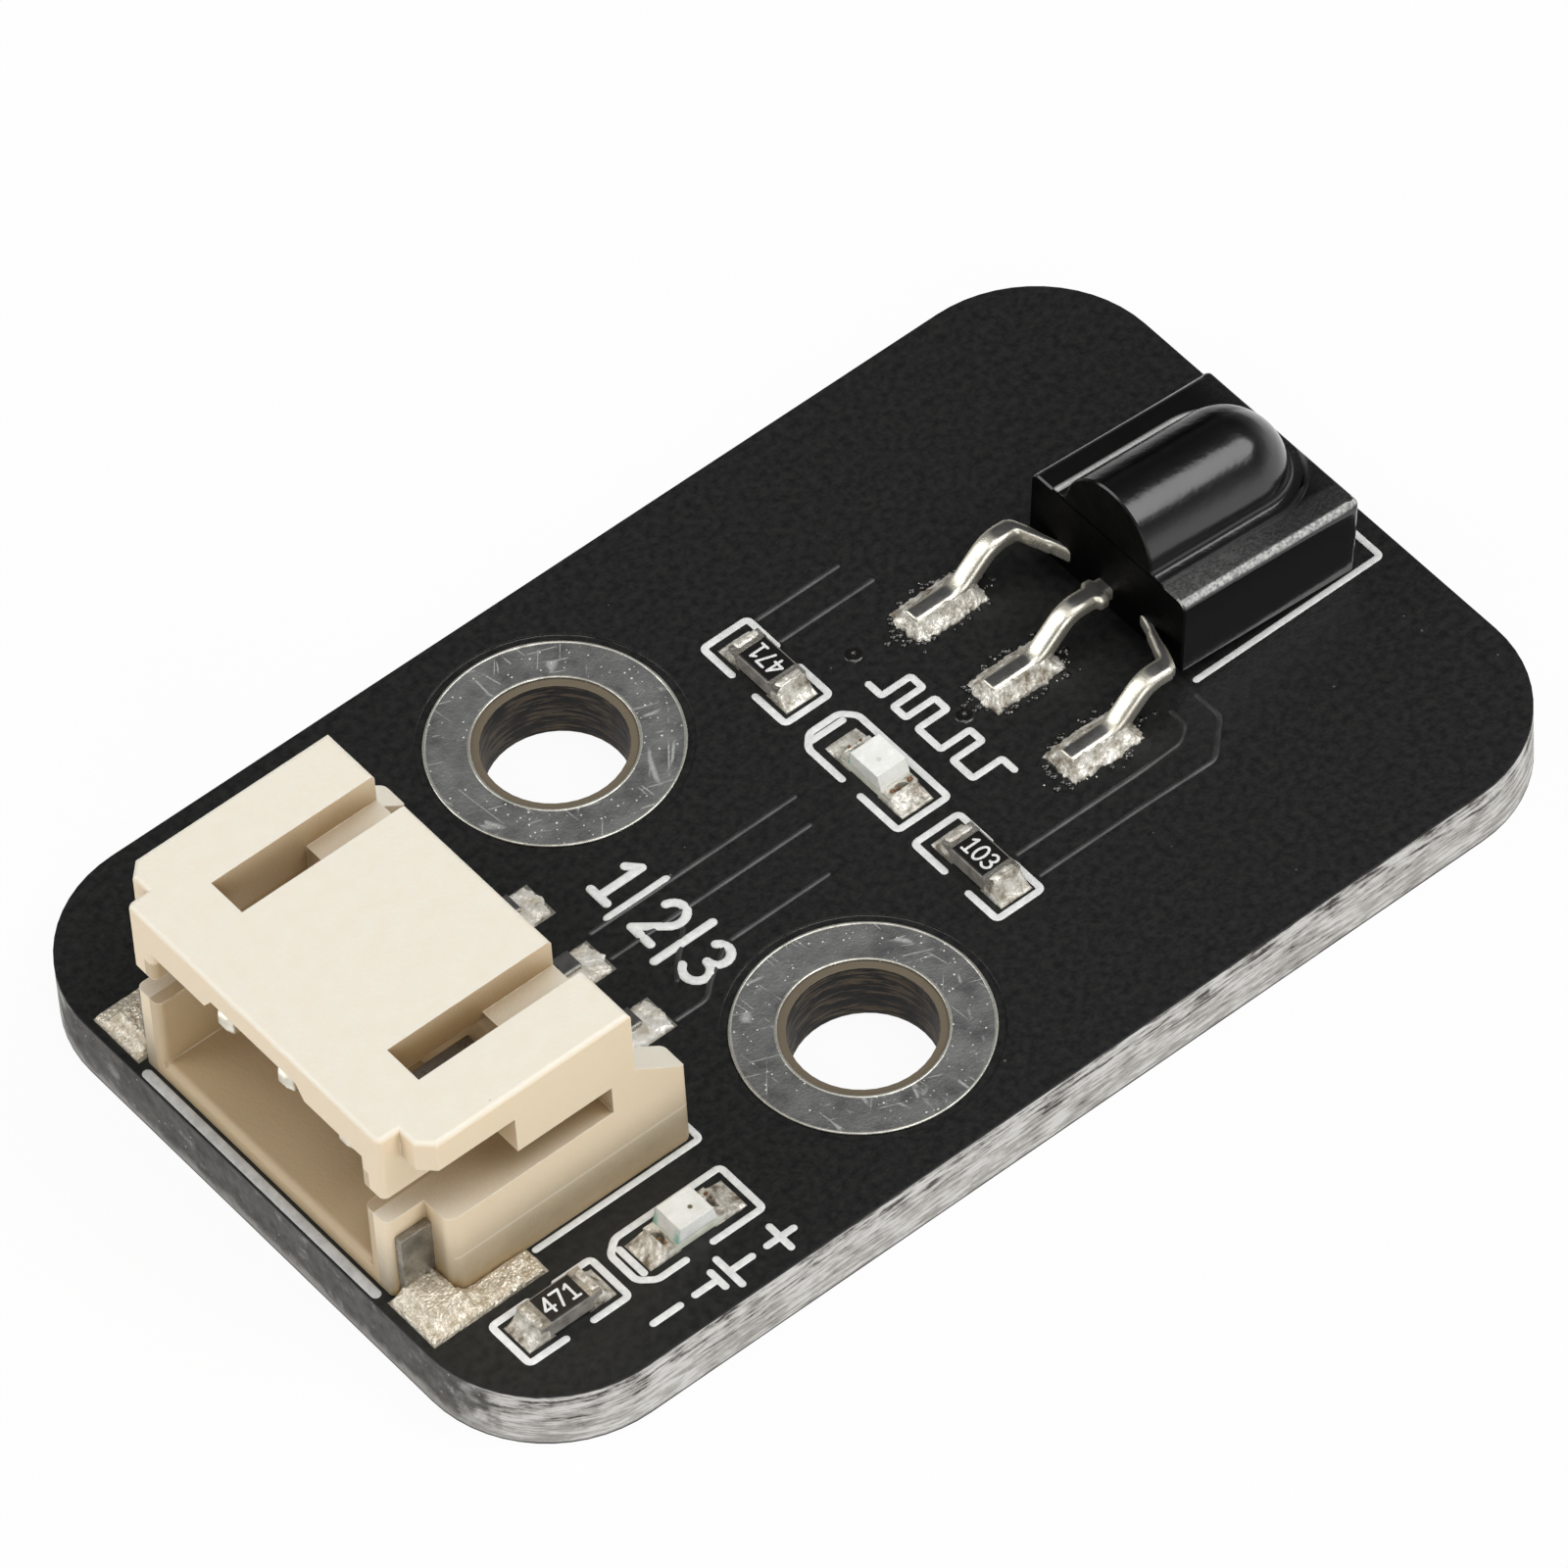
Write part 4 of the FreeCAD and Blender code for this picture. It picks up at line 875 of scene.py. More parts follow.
@dataclass
class Finishes:
    """All materials of the module by name."""

    made: dict[str, bpy.types.Material] = field(default_factory=dict)

    def build(self) -> None:
        """Make every material."""
        EFFECTS.build()
        hole = sum(node_box("mounting_ring_left")) / 2
        low, high = node_box("circuit_board")
        recipes = [
            BoardFinish(float(hole[0]), float(hole[1]), float(low[0]), float(high[2])),
            MetalFinish("ring_tin", colour=tone(150, 151, 149), shade=tone(94, 95, 94), roughness=0.42,
                        metallic=0.5, spread=0.08, mottle_scale=1.5, grain_scale=9.0, grain_depth=0.014,
                        speck_scale=8.0, speck_size=0.26, speck_share=0.45, scratch_share=0.3, rounding=0.04),
            MetalFinish("rim_tin", colour=tone(238, 236, 226), shade=tone(176, 174, 164), roughness=0.32,
                        metallic=0.7, grain_scale=9.0, grain_depth=0.004),
            MetalFinish("land_tin", colour=tone(206, 202, 192), shade=tone(112, 107, 98), roughness=0.38,
                        metallic=0.8, grain_scale=9.0, grain_depth=0.02),
            MetalFinish("smooth_solder", colour=tone(255, 252, 242), shade=tone(118, 106, 86), roughness=0.38,
                        spread=0.14, metallic=0.35, mottle_scale=3.4, grain_scale=8.0, grain_depth=0.028),
            MetalFinish("bright_solder", colour=tone(255, 253, 247), shade=tone(190, 181, 162), roughness=0.4,
                        spread=0.12, metallic=0.25, mottle_scale=2.6, grain_scale=7.0, grain_depth=0.022),
            MetalFinish("granular_solder", colour=tone(255, 247, 230), shade=tone(186, 172, 146),
                        roughness=0.44, metallic=0.5, mottle_scale=6.0, grain_scale=9.0, grain_depth=0.07),
            # Its upward flats have a painted dark reflection.
            MetalFinish("lead_tin", colour=tone(246, 242, 228), shade=tone(214, 208, 192), roughness=0.3,
                        spread=0.06, metallic=0.85, mottle_scale=2.6, grain_scale=12.0, grain_depth=0.003,
                        rounding=0.09, flat_shade=tone(140, 139, 136)),
            MetalFinish("tab_steel", colour=tone(180, 176, 168), shade=tone(122, 118, 110), roughness=0.34,
                        metallic=0.8, mottle_scale=2.0, grain_scale=10.0, grain_depth=0.01, rounding=0.04),
            NylonFinish(),
            PlasticFinish("white_print", colour=tone(238, 239, 237), shade=tone(216, 217, 215),
                          roughness=0.6, mottle_scale=6.0, grain_scale=16.0, grain_depth=0.004, rounding=0.0),
            EpoxyFinish(),
            PlasticFinish("greyer_print", colour=tone(214, 215, 215), shade=tone(184, 186, 186),
                          roughness=0.6, mottle_scale=4.0, grain_scale=16.0, rounding=0.0),
            PlasticFinish("track_mask", colour=tone(66, 67, 66), shade=tone(34, 35, 34), roughness=0.36,
                          mottle_scale=1.6, rounding=0.0),
            PlasticFinish("flux_resin", colour=tone(30, 28, 25), shade=tone(8, 8, 8), roughness=0.12,
                          specular=1.0, rounding=0.0),
            PlasticFinish("amber_plating", colour=tone(150, 104, 56), shade=tone(52, 34, 24), roughness=0.3,
                          mottle_scale=9.0, rounding=0.0),
            PlasticFinish("white_ceramic", colour=tone(156, 151, 144), shade=tone(112, 107, 101),
                          roughness=0.5, mottle_scale=4.0),
            PlasticFinish("black_coat", colour=tone(27, 25, 24), shade=tone(17, 16, 16), roughness=0.3,
                          mottle_scale=5.0),
            PlasticFinish("lamp_board", colour=tone(238, 238, 226), shade=tone(206, 208, 190),
                          roughness=0.45, mottle_scale=4.0),
            PlasticFinish("grey_chip", colour=tone(120, 112, 60), shade=tone(90, 84, 50), roughness=0.3),
            self.lamp("signal", (0.0, 1.0), 0.25),
            self.lamp("power", (-1.0, 0.0), 1.0),
        ]
        for finish in recipes:
            self.made[finish.name] = finish.material()

    def lamp(self, side: str, ahead: tuple[float, float], show: float) -> LampFinish:
        """Finish of one lamp's lens, marked at the end ahead, its chip showing by a share from 0 to 1."""
        low, high = node_box(side + "_led_lens")
        middle = tuple(float(value) for value in (low + high)[:2] / 2)
        return LampFinish(side + "_lamp_resin", middle, ahead, show)

    def dress(self, node: str, material: str) -> None:
        """Give a CAD node its material."""
        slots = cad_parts[node].data.materials
        slots.clear()
        slots.append(self.made[material])

    def piece(self, name: str, shell: Shell, material: str, slot: Slot,
              sharp: float = 180.0) -> bpy.types.Object:
        """Make a piece of the object from a surface in mm.

        Args:
            name: name of the piece.
            shell: its closed surface.
            material: name of its material.
            slot: the record's slot of its finish; not used.
            sharp: edges that turn more than this many degrees are shaded sharp.

        Returns:
            The object, which rides on the part.
        """
        mesh = bpy.data.meshes.new(name)
        mesh.from_pydata((shell.corners * MM).tolist(), [], shell.faces)
        work = bmesh.new()
        work.from_mesh(mesh)
        bmesh.ops.remove_doubles(work, verts=work.verts, dist=2e-7)
        bmesh.ops.dissolve_degenerate(work, edges=work.edges, dist=1e-7)
        bmesh.ops.recalc_face_normals(work, faces=work.faces)
        work.to_mesh(mesh)
        work.free()
        mesh.shade_smooth()
        if sharp < 180.0:
            mesh.set_sharp_from_angle(angle=math.radians(sharp))
        mesh.materials.append(self.made[material])
        made = bpy.data.objects.new(name, mesh)
        bpy.context.scene.collection.objects.link(made)
        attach(made, ROOT)
        LOG.info("piece %s: %d faces", name, len(mesh.polygons))
        return made


# Studio


@dataclass
class Softbox:
    """Rectangular lamp that looks at the object."""

    name: str
    azimuth: float
    elevation: float
    distance: float
    width: float
    height: float
    radiance: float

    def build(self) -> None:
        """Place the lamp; its power is radiance times pi times its area."""
        side, lift = math.radians(self.azimuth), math.radians(self.elevation)
        toward = Vector((math.cos(side) * math.cos(lift), math.sin(side) * math.cos(lift), math.sin(lift)))
        data = bpy.data.lights.new(self.name, "AREA")
        data.shape = "RECTANGLE"
        data.size, data.size_y = self.width, self.height
        data.energy = self.radiance * math.pi * self.width * self.height
        lamp = bpy.data.objects.new(self.name, data)
        lamp.matrix_world = Matrix.Translation(toward * self.distance) @ \
            toward.to_track_quat("Z", "Y").to_matrix().to_4x4()
        bpy.context.scene.collection.objects.link(lamp)


@dataclass
class Studio:
    """Camera, pale floor, sky and lamps."""

    camera_place: tuple = (-111.886, -151.749, 233.928)
    camera_right: tuple = (0.770753, -0.635541, -0.045031)
    camera_ahead: tuple = (0.374749, 0.509366, -0.774667)
    lens: float = 328.24
    sensor: float = 36.0
    floor_half: float = 2500.0
    softboxes: tuple = (
        Softbox("softbox_right", -42.0, 59.0, 0.6, 0.47, 0.4, 3.15),
        Softbox("softbox_left", 138.0, 38.0, 0.6, 0.34, 0.48, 2.2),
        Softbox("softbox_front", -115.0, 28.0, 0.6, 0.3, 0.3, 3.2),
        Softbox("softbox_top", 180.0, 86.0, 0.7, 0.42, 0.42, 1.8),
    )
    sky: tuple = ((0.0, 1.0), (0.12, 0.85), (0.3, 0.42), (0.5, 0.16), (1.0, 0.08))
    dim_toward: tuple = (0.39, 0.92, 0.0)
    dim_share: float = 0.3
    floor_colour: tuple = (0.86, 0.86, 0.86, 1.0)
    floor_roughness: float = 0.9
    floor_glow: float = 0.93

    def build_camera(self) -> None:
        """Place the camera by its own right and viewing directions."""
        ahead = Vector(self.camera_ahead).normalized()
        right = Vector(self.camera_right)
        right = (right - ahead * right.dot(ahead)).normalized()
        up = right.cross(ahead)
        data = bpy.data.cameras.new("camera")
        data.sensor_width = self.sensor
        data.lens = self.lens
        data.clip_start, data.clip_end = 0.01, 20.0
        camera = bpy.data.objects.new("camera", data)
        turn = Matrix((right, up, -ahead)).transposed().to_4x4()
        camera.matrix_world = Matrix.Translation(Vector(self.camera_place) * MM) @ turn
        bpy.context.scene.collection.objects.link(camera)
        bpy.context.scene.camera = camera

    def build_floor(self) -> None:
        """Pale floor that shows white to the camera and keeps a faint shadow."""
        line = np.linspace(-self.floor_half, self.floor_half, 9)
        x, y = np.meshgrid(line, line, indexing="ij")
        shell = lattice(np.stack([x, y, np.zeros_like(x)], axis=-1))
        mesh = bpy.data.meshes.new("floor")
        mesh.from_pydata((shell.corners * MM).tolist(), [], shell.faces)
        material, recipe, shader = open_material("pale_floor")
        set_inputs(recipe, shader, Base_Color=self.floor_colour, Roughness=self.floor_roughness,
                   Specular_IOR_Level=0.0)
        path = recipe.add("ShaderNodeLightPath").outputs
        looked = recipe.most(path["Is Camera Ray"], path["Is Glossy Ray"])
        seen = recipe.most(looked, path["Is Transmission Ray"])
        glow = recipe.add("ShaderNodeEmission", {"Color": (1.0, 1.0, 1.0, 1.0), "Strength": 1.0})
        mixed = recipe.add("ShaderNodeMixShader", {0: recipe.times(seen, self.floor_glow),
                                                   1: shader.outputs[0], 2: glow.outputs[0]})
        output = first_node(material.node_tree, "OUTPUT_MATERIAL")
        material.node_tree.links.new(mixed.outputs[0], output.inputs["Surface"])
        mesh.materials.append(material)
        floor = bpy.data.objects.new("floor", mesh)
        bpy.context.scene.collection.objects.link(floor)
        floor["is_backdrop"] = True

    def build_sky(self) -> None:
        """Sky that is pale at the horizon, dark grey overhead and dim behind the object."""
        world = bpy.data.worlds.new("studio_sky")
        world.use_nodes = True
        bpy.context.scene.world = world
        recipe = Recipe(world.node_tree)
        where = recipe.add("ShaderNodeTexCoord").outputs["Generated"]
        ramp = recipe.add("ShaderNodeValToRGB", {0: recipe.parts(where)[2]})
        stops = ramp.color_ramp.elements
        while len(stops) < len(self.sky):
            stops.new(0.5)
        for stop, (position, level) in zip(stops, self.sky):
            stop.position = position
            stop.color = (level, level, level, 1.0)
        back = first_node(world.node_tree, "BACKGROUND")
        world.node_tree.links.new(ramp.outputs[0], back.inputs["Color"])
        dimmed = recipe.span(recipe.dot(where, self.dim_toward), 0.3, 0.8, 1.0, self.dim_share)
        world.node_tree.links.new(dimmed, back.inputs["Strength"])

    def build(self) -> None:
        """Make the whole studio."""
        self.build_camera()
        self.build_floor()
        self.build_sky()
        for softbox in self.softboxes:
            softbox.build()
        bpy.context.scene.view_settings.view_transform = "Standard"


# Sub-assemblies


@dataclass
class Figures:
    """Plain figures and marks as strokes in a box one unit high."""

    def figure(self, sign: str) -> list[np.ndarray]:
        """Strokes of one figure, about 0.6 wide.

        Args:
            sign: one of the figures 0, 1, 2, 3, 4 and 7, or an upright bar.

        Returns:
            The strokes' middle lines.
        """
        forms = {
            "0": [arc((0.3, 0.5), (0.24, 0.45), 0, 360, 29)],
            "1": [np.array([(0.12, 0.76), (0.32, 0.94)]), np.array([(0.32, 0.94), (0.32, 0.05)]),
                  np.array([(0.12, 0.05), (0.52, 0.05)])],
            "2": [np.vstack([arc((0.3, 0.69), (0.23, 0.26), 165, -35), [(0.07, 0.05)]]),
                  np.array([(0.07, 0.05), (0.55, 0.05)])],
            "3": [arc((0.28, 0.73), (0.21, 0.22), 150, -90), arc((0.28, 0.28), (0.25, 0.23), 90, -150)],
            "4": [np.array([(0.43, 0.05), (0.43, 0.95)]), np.array([(0.43, 0.95), (0.05, 0.32)]),
                  np.array([(0.05, 0.32), (0.58, 0.32)])],
            "7": [np.array([(0.06, 0.95), (0.54, 0.95)]), np.array([(0.54, 0.95), (0.22, 0.05)])],
            "|": [np.array([(0.3, -0.12), (0.3, 1.08)])],
        }
        return forms[sign]

    def row(self, text: str, places: Sequence[float], height: float) -> list[np.ndarray]:
        """Strokes of a row of figures, each centred on its place along the row."""
        strokes = []
        for sign, place in zip(text, places):
            strokes.extend((path - np.array([0.3, 0.5])) * height + np.array([place, 0.0])
                           for path in self.figure(sign))
        return strokes


@dataclass
class CircuitBoard:
    """The board with its rings, lands, covered tracks and white print.

    Points on the board are given as setback from the socket's edge and offset to the left.
    """

    finishes: Finishes
    line: float = 0.17
    rise: float = 0.018
    corner: float = 0.12
    body_line: float = 0.16
    strip_line: float = 0.24
    bevel: float = 0.28
    figure_height: float = 1.3
    figure_line: float = 0.22
    figure_rise: float = 0.038
    figure_setback: float = 10.72
    figure_offsets: tuple = (-1.28, -0.67, 0.13, 0.86, 1.62)
    pulse_setback: float = 18.42
    signs_place: tuple = (5.8, -8.15)
    track_width: float = 0.13
    track_rise: float = 0.03
    via_radius: float = 0.12
    via_line: float = 0.2
    via_rise: float = 0.024
    ring_opening: float = 1.8
    rim_radius: float = 0.036
    flux_count: int = 54
    flux_reach: tuple = (1.05, 0.62)
    flux_sizes: tuple = (0.04, 0.11)
    speck_sizes: tuple = (0.012, 0.035)
    speck_share: float = 0.3
    chip_frames: tuple = (
        ((15.93, 17.32, 2.17, 5.09), (3.25, 4.03), True),
        ((15.88, 17.27, -4.82, -1.95), (-3.81, -3.03), True),
        ((1.33, 4.11, -7.36, -5.93), (2.37, 3.10), False),
    )
    body_frames: tuple = (
        ((23.26, -2.58), (28.4, -2.58), (28.4, 2.58), (23.26, 2.58)),
        ((3.33, -5.09), (7.68, -5.09), (7.68, 5.09), (3.33, 5.09)),
    )
    front_strip: tuple = ((0.17, -3.8), (0.17, 3.8))
    pulses: tuple = ((-1.92, -0.4), (-1.5, -0.4), (-1.5, 0.4), (-1.1, 0.4), (-1.1, -0.4), (-0.7, -0.4),
                     (-0.7, 0.4), (-0.3, 0.4), (-0.3, -0.4), (0.45, -0.4), (0.45, 0.4), (0.85, 0.4),
                     (0.85, -0.4), (1.5, -0.4), (1.5, 0.4), (1.9, 0.4))
    signs: tuple = (
        ((-1.85, 0.0), (-1.15, 0.0)), ((-1.5, -0.35), (-1.5, 0.35)), ((-0.75, 0.0), (-0.15, 0.0)),
        ((-0.15, -0.42), (-0.15, 0.42)), ((0.15, -0.24), (0.15, 0.24)), ((0.15, 0.0), (0.75, 0.0)),
        ((1.15, 0.0), (1.85, 0.0)),
    )
    tracks: tuple = (
        ((9.4, 0.6), (14.9, 0.6)), ((9.3, -0.2), (14.65, -0.2)), ((11.5, -1.47), (14.1, -1.47)),
        ((9.29, -2.36), (10.1, -2.36), (10.5, -2.0), (11.35, -1.47)),
        ((9.95, -1.56), (10.28, -1.18), (10.9, -0.6)),
        ((17.4, 4.86), (19.6, 4.86)), ((17.4, 4.07), (19.9, 4.07)),
        ((17.4, -3.68), (20.7, -3.7), (21.9, -3.65), (22.3, -3.35), (22.3, -2.9)),
        ((17.4, -4.43), (20.0, -4.44), (22.15, -4.49), (23.0, -3.65), (23.0, -2.9)),
    )
    vias: tuple = ((18.30, 2.75), (18.99, -0.08))

    def __post_init__(self) -> None:
        """Take the board's box from the CAD."""
        low, high = node_box("circuit_board")
        self.edge_x = float(low[0])
        self.top = float(high[2])

    def at(self, points: Sequence[tuple[float, float]]) -> list[tuple[float, float]]:
        """Points on the board, in the part's frame."""
        return [(x + self.edge_x, y) for x, y in points]

    def bent(self, points: Sequence[tuple[float, float]], radius: float) -> np.ndarray:
        """Line through points on the board, with softened corners where it has any."""
        return softened(self.at(points), radius) if len(points) > 2 else np.array(self.at(points))

    def print_line(self, points: Sequence[tuple[float, float]], width: float | None = None) -> Shell:
        """One printed line with softened corners."""
        return stroke(self.bent(points, self.corner), width or self.line, self.rise, self.top)

    def bracket(self, outer: tuple[float, float, float, float], gap: tuple[float, float],
                across: bool) -> list[Shell]:
        """Frame round a chip, in two halves with a gap in its long sides.

        Args:
            outer: lowest and highest setback of its outside, then lowest and highest offset.
            gap: where the gap starts and ends on the long sides.
            across: whether the long sides run across the board.

        Returns:
            The two halves.
        """
        half = self.line / 2
        x0, x1, y0, y1 = outer[0] + half, outer[1] - half, outer[2] + half, outer[3] - half
        if across:
            halves = [[(x0, end), (x0, y), (x1, y), (x1, end)] for end, y in zip(gap, (y0, y1))]
        else:
            halves = [[(end, y0), (x, y0), (x, y1), (end, y1)] for end, x in zip(gap, (x0, x1))]
        return [self.print_line(points) for points in halves]

    def lamp_frames(self) -> list[Shell]:
        """Frames of the two lamps, each open on one side and bevelled at one end, with a bar there."""
        half, bevel = self.line / 2, self.bevel
        x0, x1, y0, y1, slant_y = 15.86 + half, 17.40 - half, -1.62 + half, 1.81 - half, 1.42
        signal = [(x0, -0.31), (x0, y0), (x1, y0), (x1, slant_y), (x1 - bevel, y1), (x0 + bevel, y1),
                  (x0, slant_y), (x0, 0.30)]
        signal_bar = [(16.15, 1.53), (16.98, 1.53)]
        x0, x1, y0, y1, slant_x = 4.3 + half, 7.6 - half, -7.42 + half, -5.85 - half, 4.72
        power = [(5.47, y0), (slant_x, y0), (x0, y0 + bevel), (x0, y1 - bevel), (slant_x, y1), (x1, y1),
                 (x1, y0), (6.2, y0)]
        power_bar = [(4.62, -7.02), (4.62, -6.22)]
        return [self.print_line(points) for points in (signal, signal_bar, power, power_bar)]

    def marks(self) -> list[Shell]:
        """Figures behind the socket, the signal lamp's pulses and the power lamp's signs."""
        shells = []
        for path in Figures().row("1|2|3", self.figure_offsets, self.figure_height):
            placed = turned(path, (self.figure_setback + self.edge_x, 0.0), -90.0)
            shells.append(stroke(placed, self.figure_line, self.figure_rise, self.top))
        placed = turned(softened(self.pulses, 0.06), (self.pulse_setback + self.edge_x, 0.0), -90.0)
        shells.append(stroke(placed, self.line, self.rise, self.top))
        for sign in self.signs:
            placed = turned(np.array(sign), self.at([self.signs_place])[0], 180.0)
            shells.append(stroke(placed, self.line, self.rise, self.top))
        return shells

    def build_print(self) -> None:
        """White print: frames, outlines, figures and plain marks."""
        shells = [half for values in self.chip_frames for half in self.bracket(*values)]
        shells += self.lamp_frames()
        shells += [self.print_line(points, width=self.body_line) for points in self.body_frames]
        self.finishes.piece("board_print", joined(shells + self.marks()), "white_print", Slot.BOARD, 50.0)
        # The strip along the front edge is printed greyer than the rest.
        strip = self.print_line(self.front_strip, width=self.strip_line)
        self.finishes.piece("front_strip", strip, "greyer_print", Slot.BOARD, 50.0)

    def build_tracks(self) -> None:
        """Low ridges where copper tracks run under the mask, and two covered holes."""
        shells = [stroke(self.bent(run, 0.15), self.track_width, self.track_rise, self.top, power=1.5)
                  for run in self.tracks]
        self.finishes.piece("covered_tracks", joined(shells), "track_mask", Slot.BOARD)
        radii = (self.via_radius, self.via_radius)
        rings = [stroke(arc(middle, radii, 0, 345, 24), self.via_line, self.via_rise, self.top, closed=True,
                        power=2.0) for middle in self.at(self.vias)]
        self.finishes.piece("covered_vias", joined(rings), "flux_resin", Slot.BOARD)

    def build_rims(self) -> None:
        """Beads of tin on the inner and outer edge of each upper ring.

        A bead is a ring surface, at R + r cos t from the hole's middle and 0.6 r sin t in height.
        """
        shells = []
        for side in ("left", "right"):
            low, high = node_box("mounting_ring_" + side)
            middle = (low + high) / 2
            outer = float(high[0] - low[0]) / 2
            inset = self.rim_radius * 0.6
            for radius in (self.ring_opening + inset, outer - inset):
                around = np.linspace(0, math.tau, 160, endpoint=False)[:, None]
                turn = np.linspace(0, math.tau, 12, endpoint=False)[None]
                uneven = 1 + 0.16 * np.sin(around * 7 + radius) * np.sin(around * 3 + 1)
                reach = radius + self.rim_radius * uneven * np.cos(turn)
                z = self.top - 0.006 + 0.6 * self.rim_radius * uneven * np.sin(turn)
                grid = np.stack([middle[0] + reach * np.cos(around), middle[1] + reach * np.sin(around), z],
                                axis=-1)
                shells.append(lattice(grid, True, True))
        self.finishes.piece("ring_rims", joined(shells), "rim_tin", Slot.TIN)

    def build_flux(self) -> None:
        """Small beads of flux and specks of solder round the receiver's feet, each a low dome."""
        rng = np.random.default_rng(29)
        low, high = node_box("receiver_lands")
        turn = np.linspace(0, math.tau, 10, endpoint=False)[None, None]
        lift = np.linspace(0, math.pi / 2, 4)[None, :, None]
        kinds: dict[str, list[Shell]] = {"flux_beads": [], "solder_specks": []}
        for _, offset in LEADS:
            side = rng.uniform(0, math.tau, self.flux_count)
            spread = 1.06 + rng.gamma(1.3, 0.08, self.flux_count)
            x = (low[0] + high[0]) / 2 + self.flux_reach[0] * spread * np.cos(side)
            y = offset + self.flux_reach[1] * spread * np.sin(side)
            bright = rng.uniform(0, 1, self.flux_count) < self.speck_share
            size = np.where(bright, rng.uniform(*self.speck_sizes, self.flux_count),
                            rng.uniform(*self.flux_sizes, self.flux_count))[:, None, None]
            grid = np.stack([x[:, None, None] + size * np.cos(lift) * np.cos(turn),
                             y[:, None, None] + size * np.cos(lift) * np.sin(turn),
                             self.top + size * 0.7 * np.sin(lift) + 0 * turn], axis=-1)
            for dome, shines in zip(grid, bright):
                shell = lattice(dome, wrap_columns=True)
                shell.faces.append(tuple(range(dome.shape[1])))
                kinds["solder_specks" if shines else "flux_beads"].append(shell)
        self.finishes.piece("flux_beads", joined(kinds["flux_beads"]), "flux_resin", Slot.BOARD)
        self.finishes.piece("solder_specks", joined(kinds["solder_specks"]), "rim_tin", Slot.SOLDER)

    def build(self) -> None:
        """Dress the board and lay its tracks and print."""
        self.finishes.dress("circuit_board", "black_mask_board")
        for side in ("left", "right"):
            self.finishes.dress("mounting_ring_" + side, "ring_tin")
        for lands in ("contact_lands", "anchor_lands", "receiver_lands", "chip_lands"):
            self.finishes.dress(lands, "land_tin")
        self.build_rims()
        self.build_tracks()
        self.build_print()
        self.build_flux()


@dataclass
class Socket:
    """Moulded housing with its contacts and anchors."""

    finishes: Finishes

    def build(self) -> None:
        """Dress the socket."""
        self.finishes.dress("socket_housing", "cream_nylon")
        for number in (1, 2, 3):
            self.finishes.dress(f"socket_contact_{number}", "lead_tin")
        for side in ("left", "right"):
            self.finishes.dress("socket_anchor_" + side, "tab_steel")


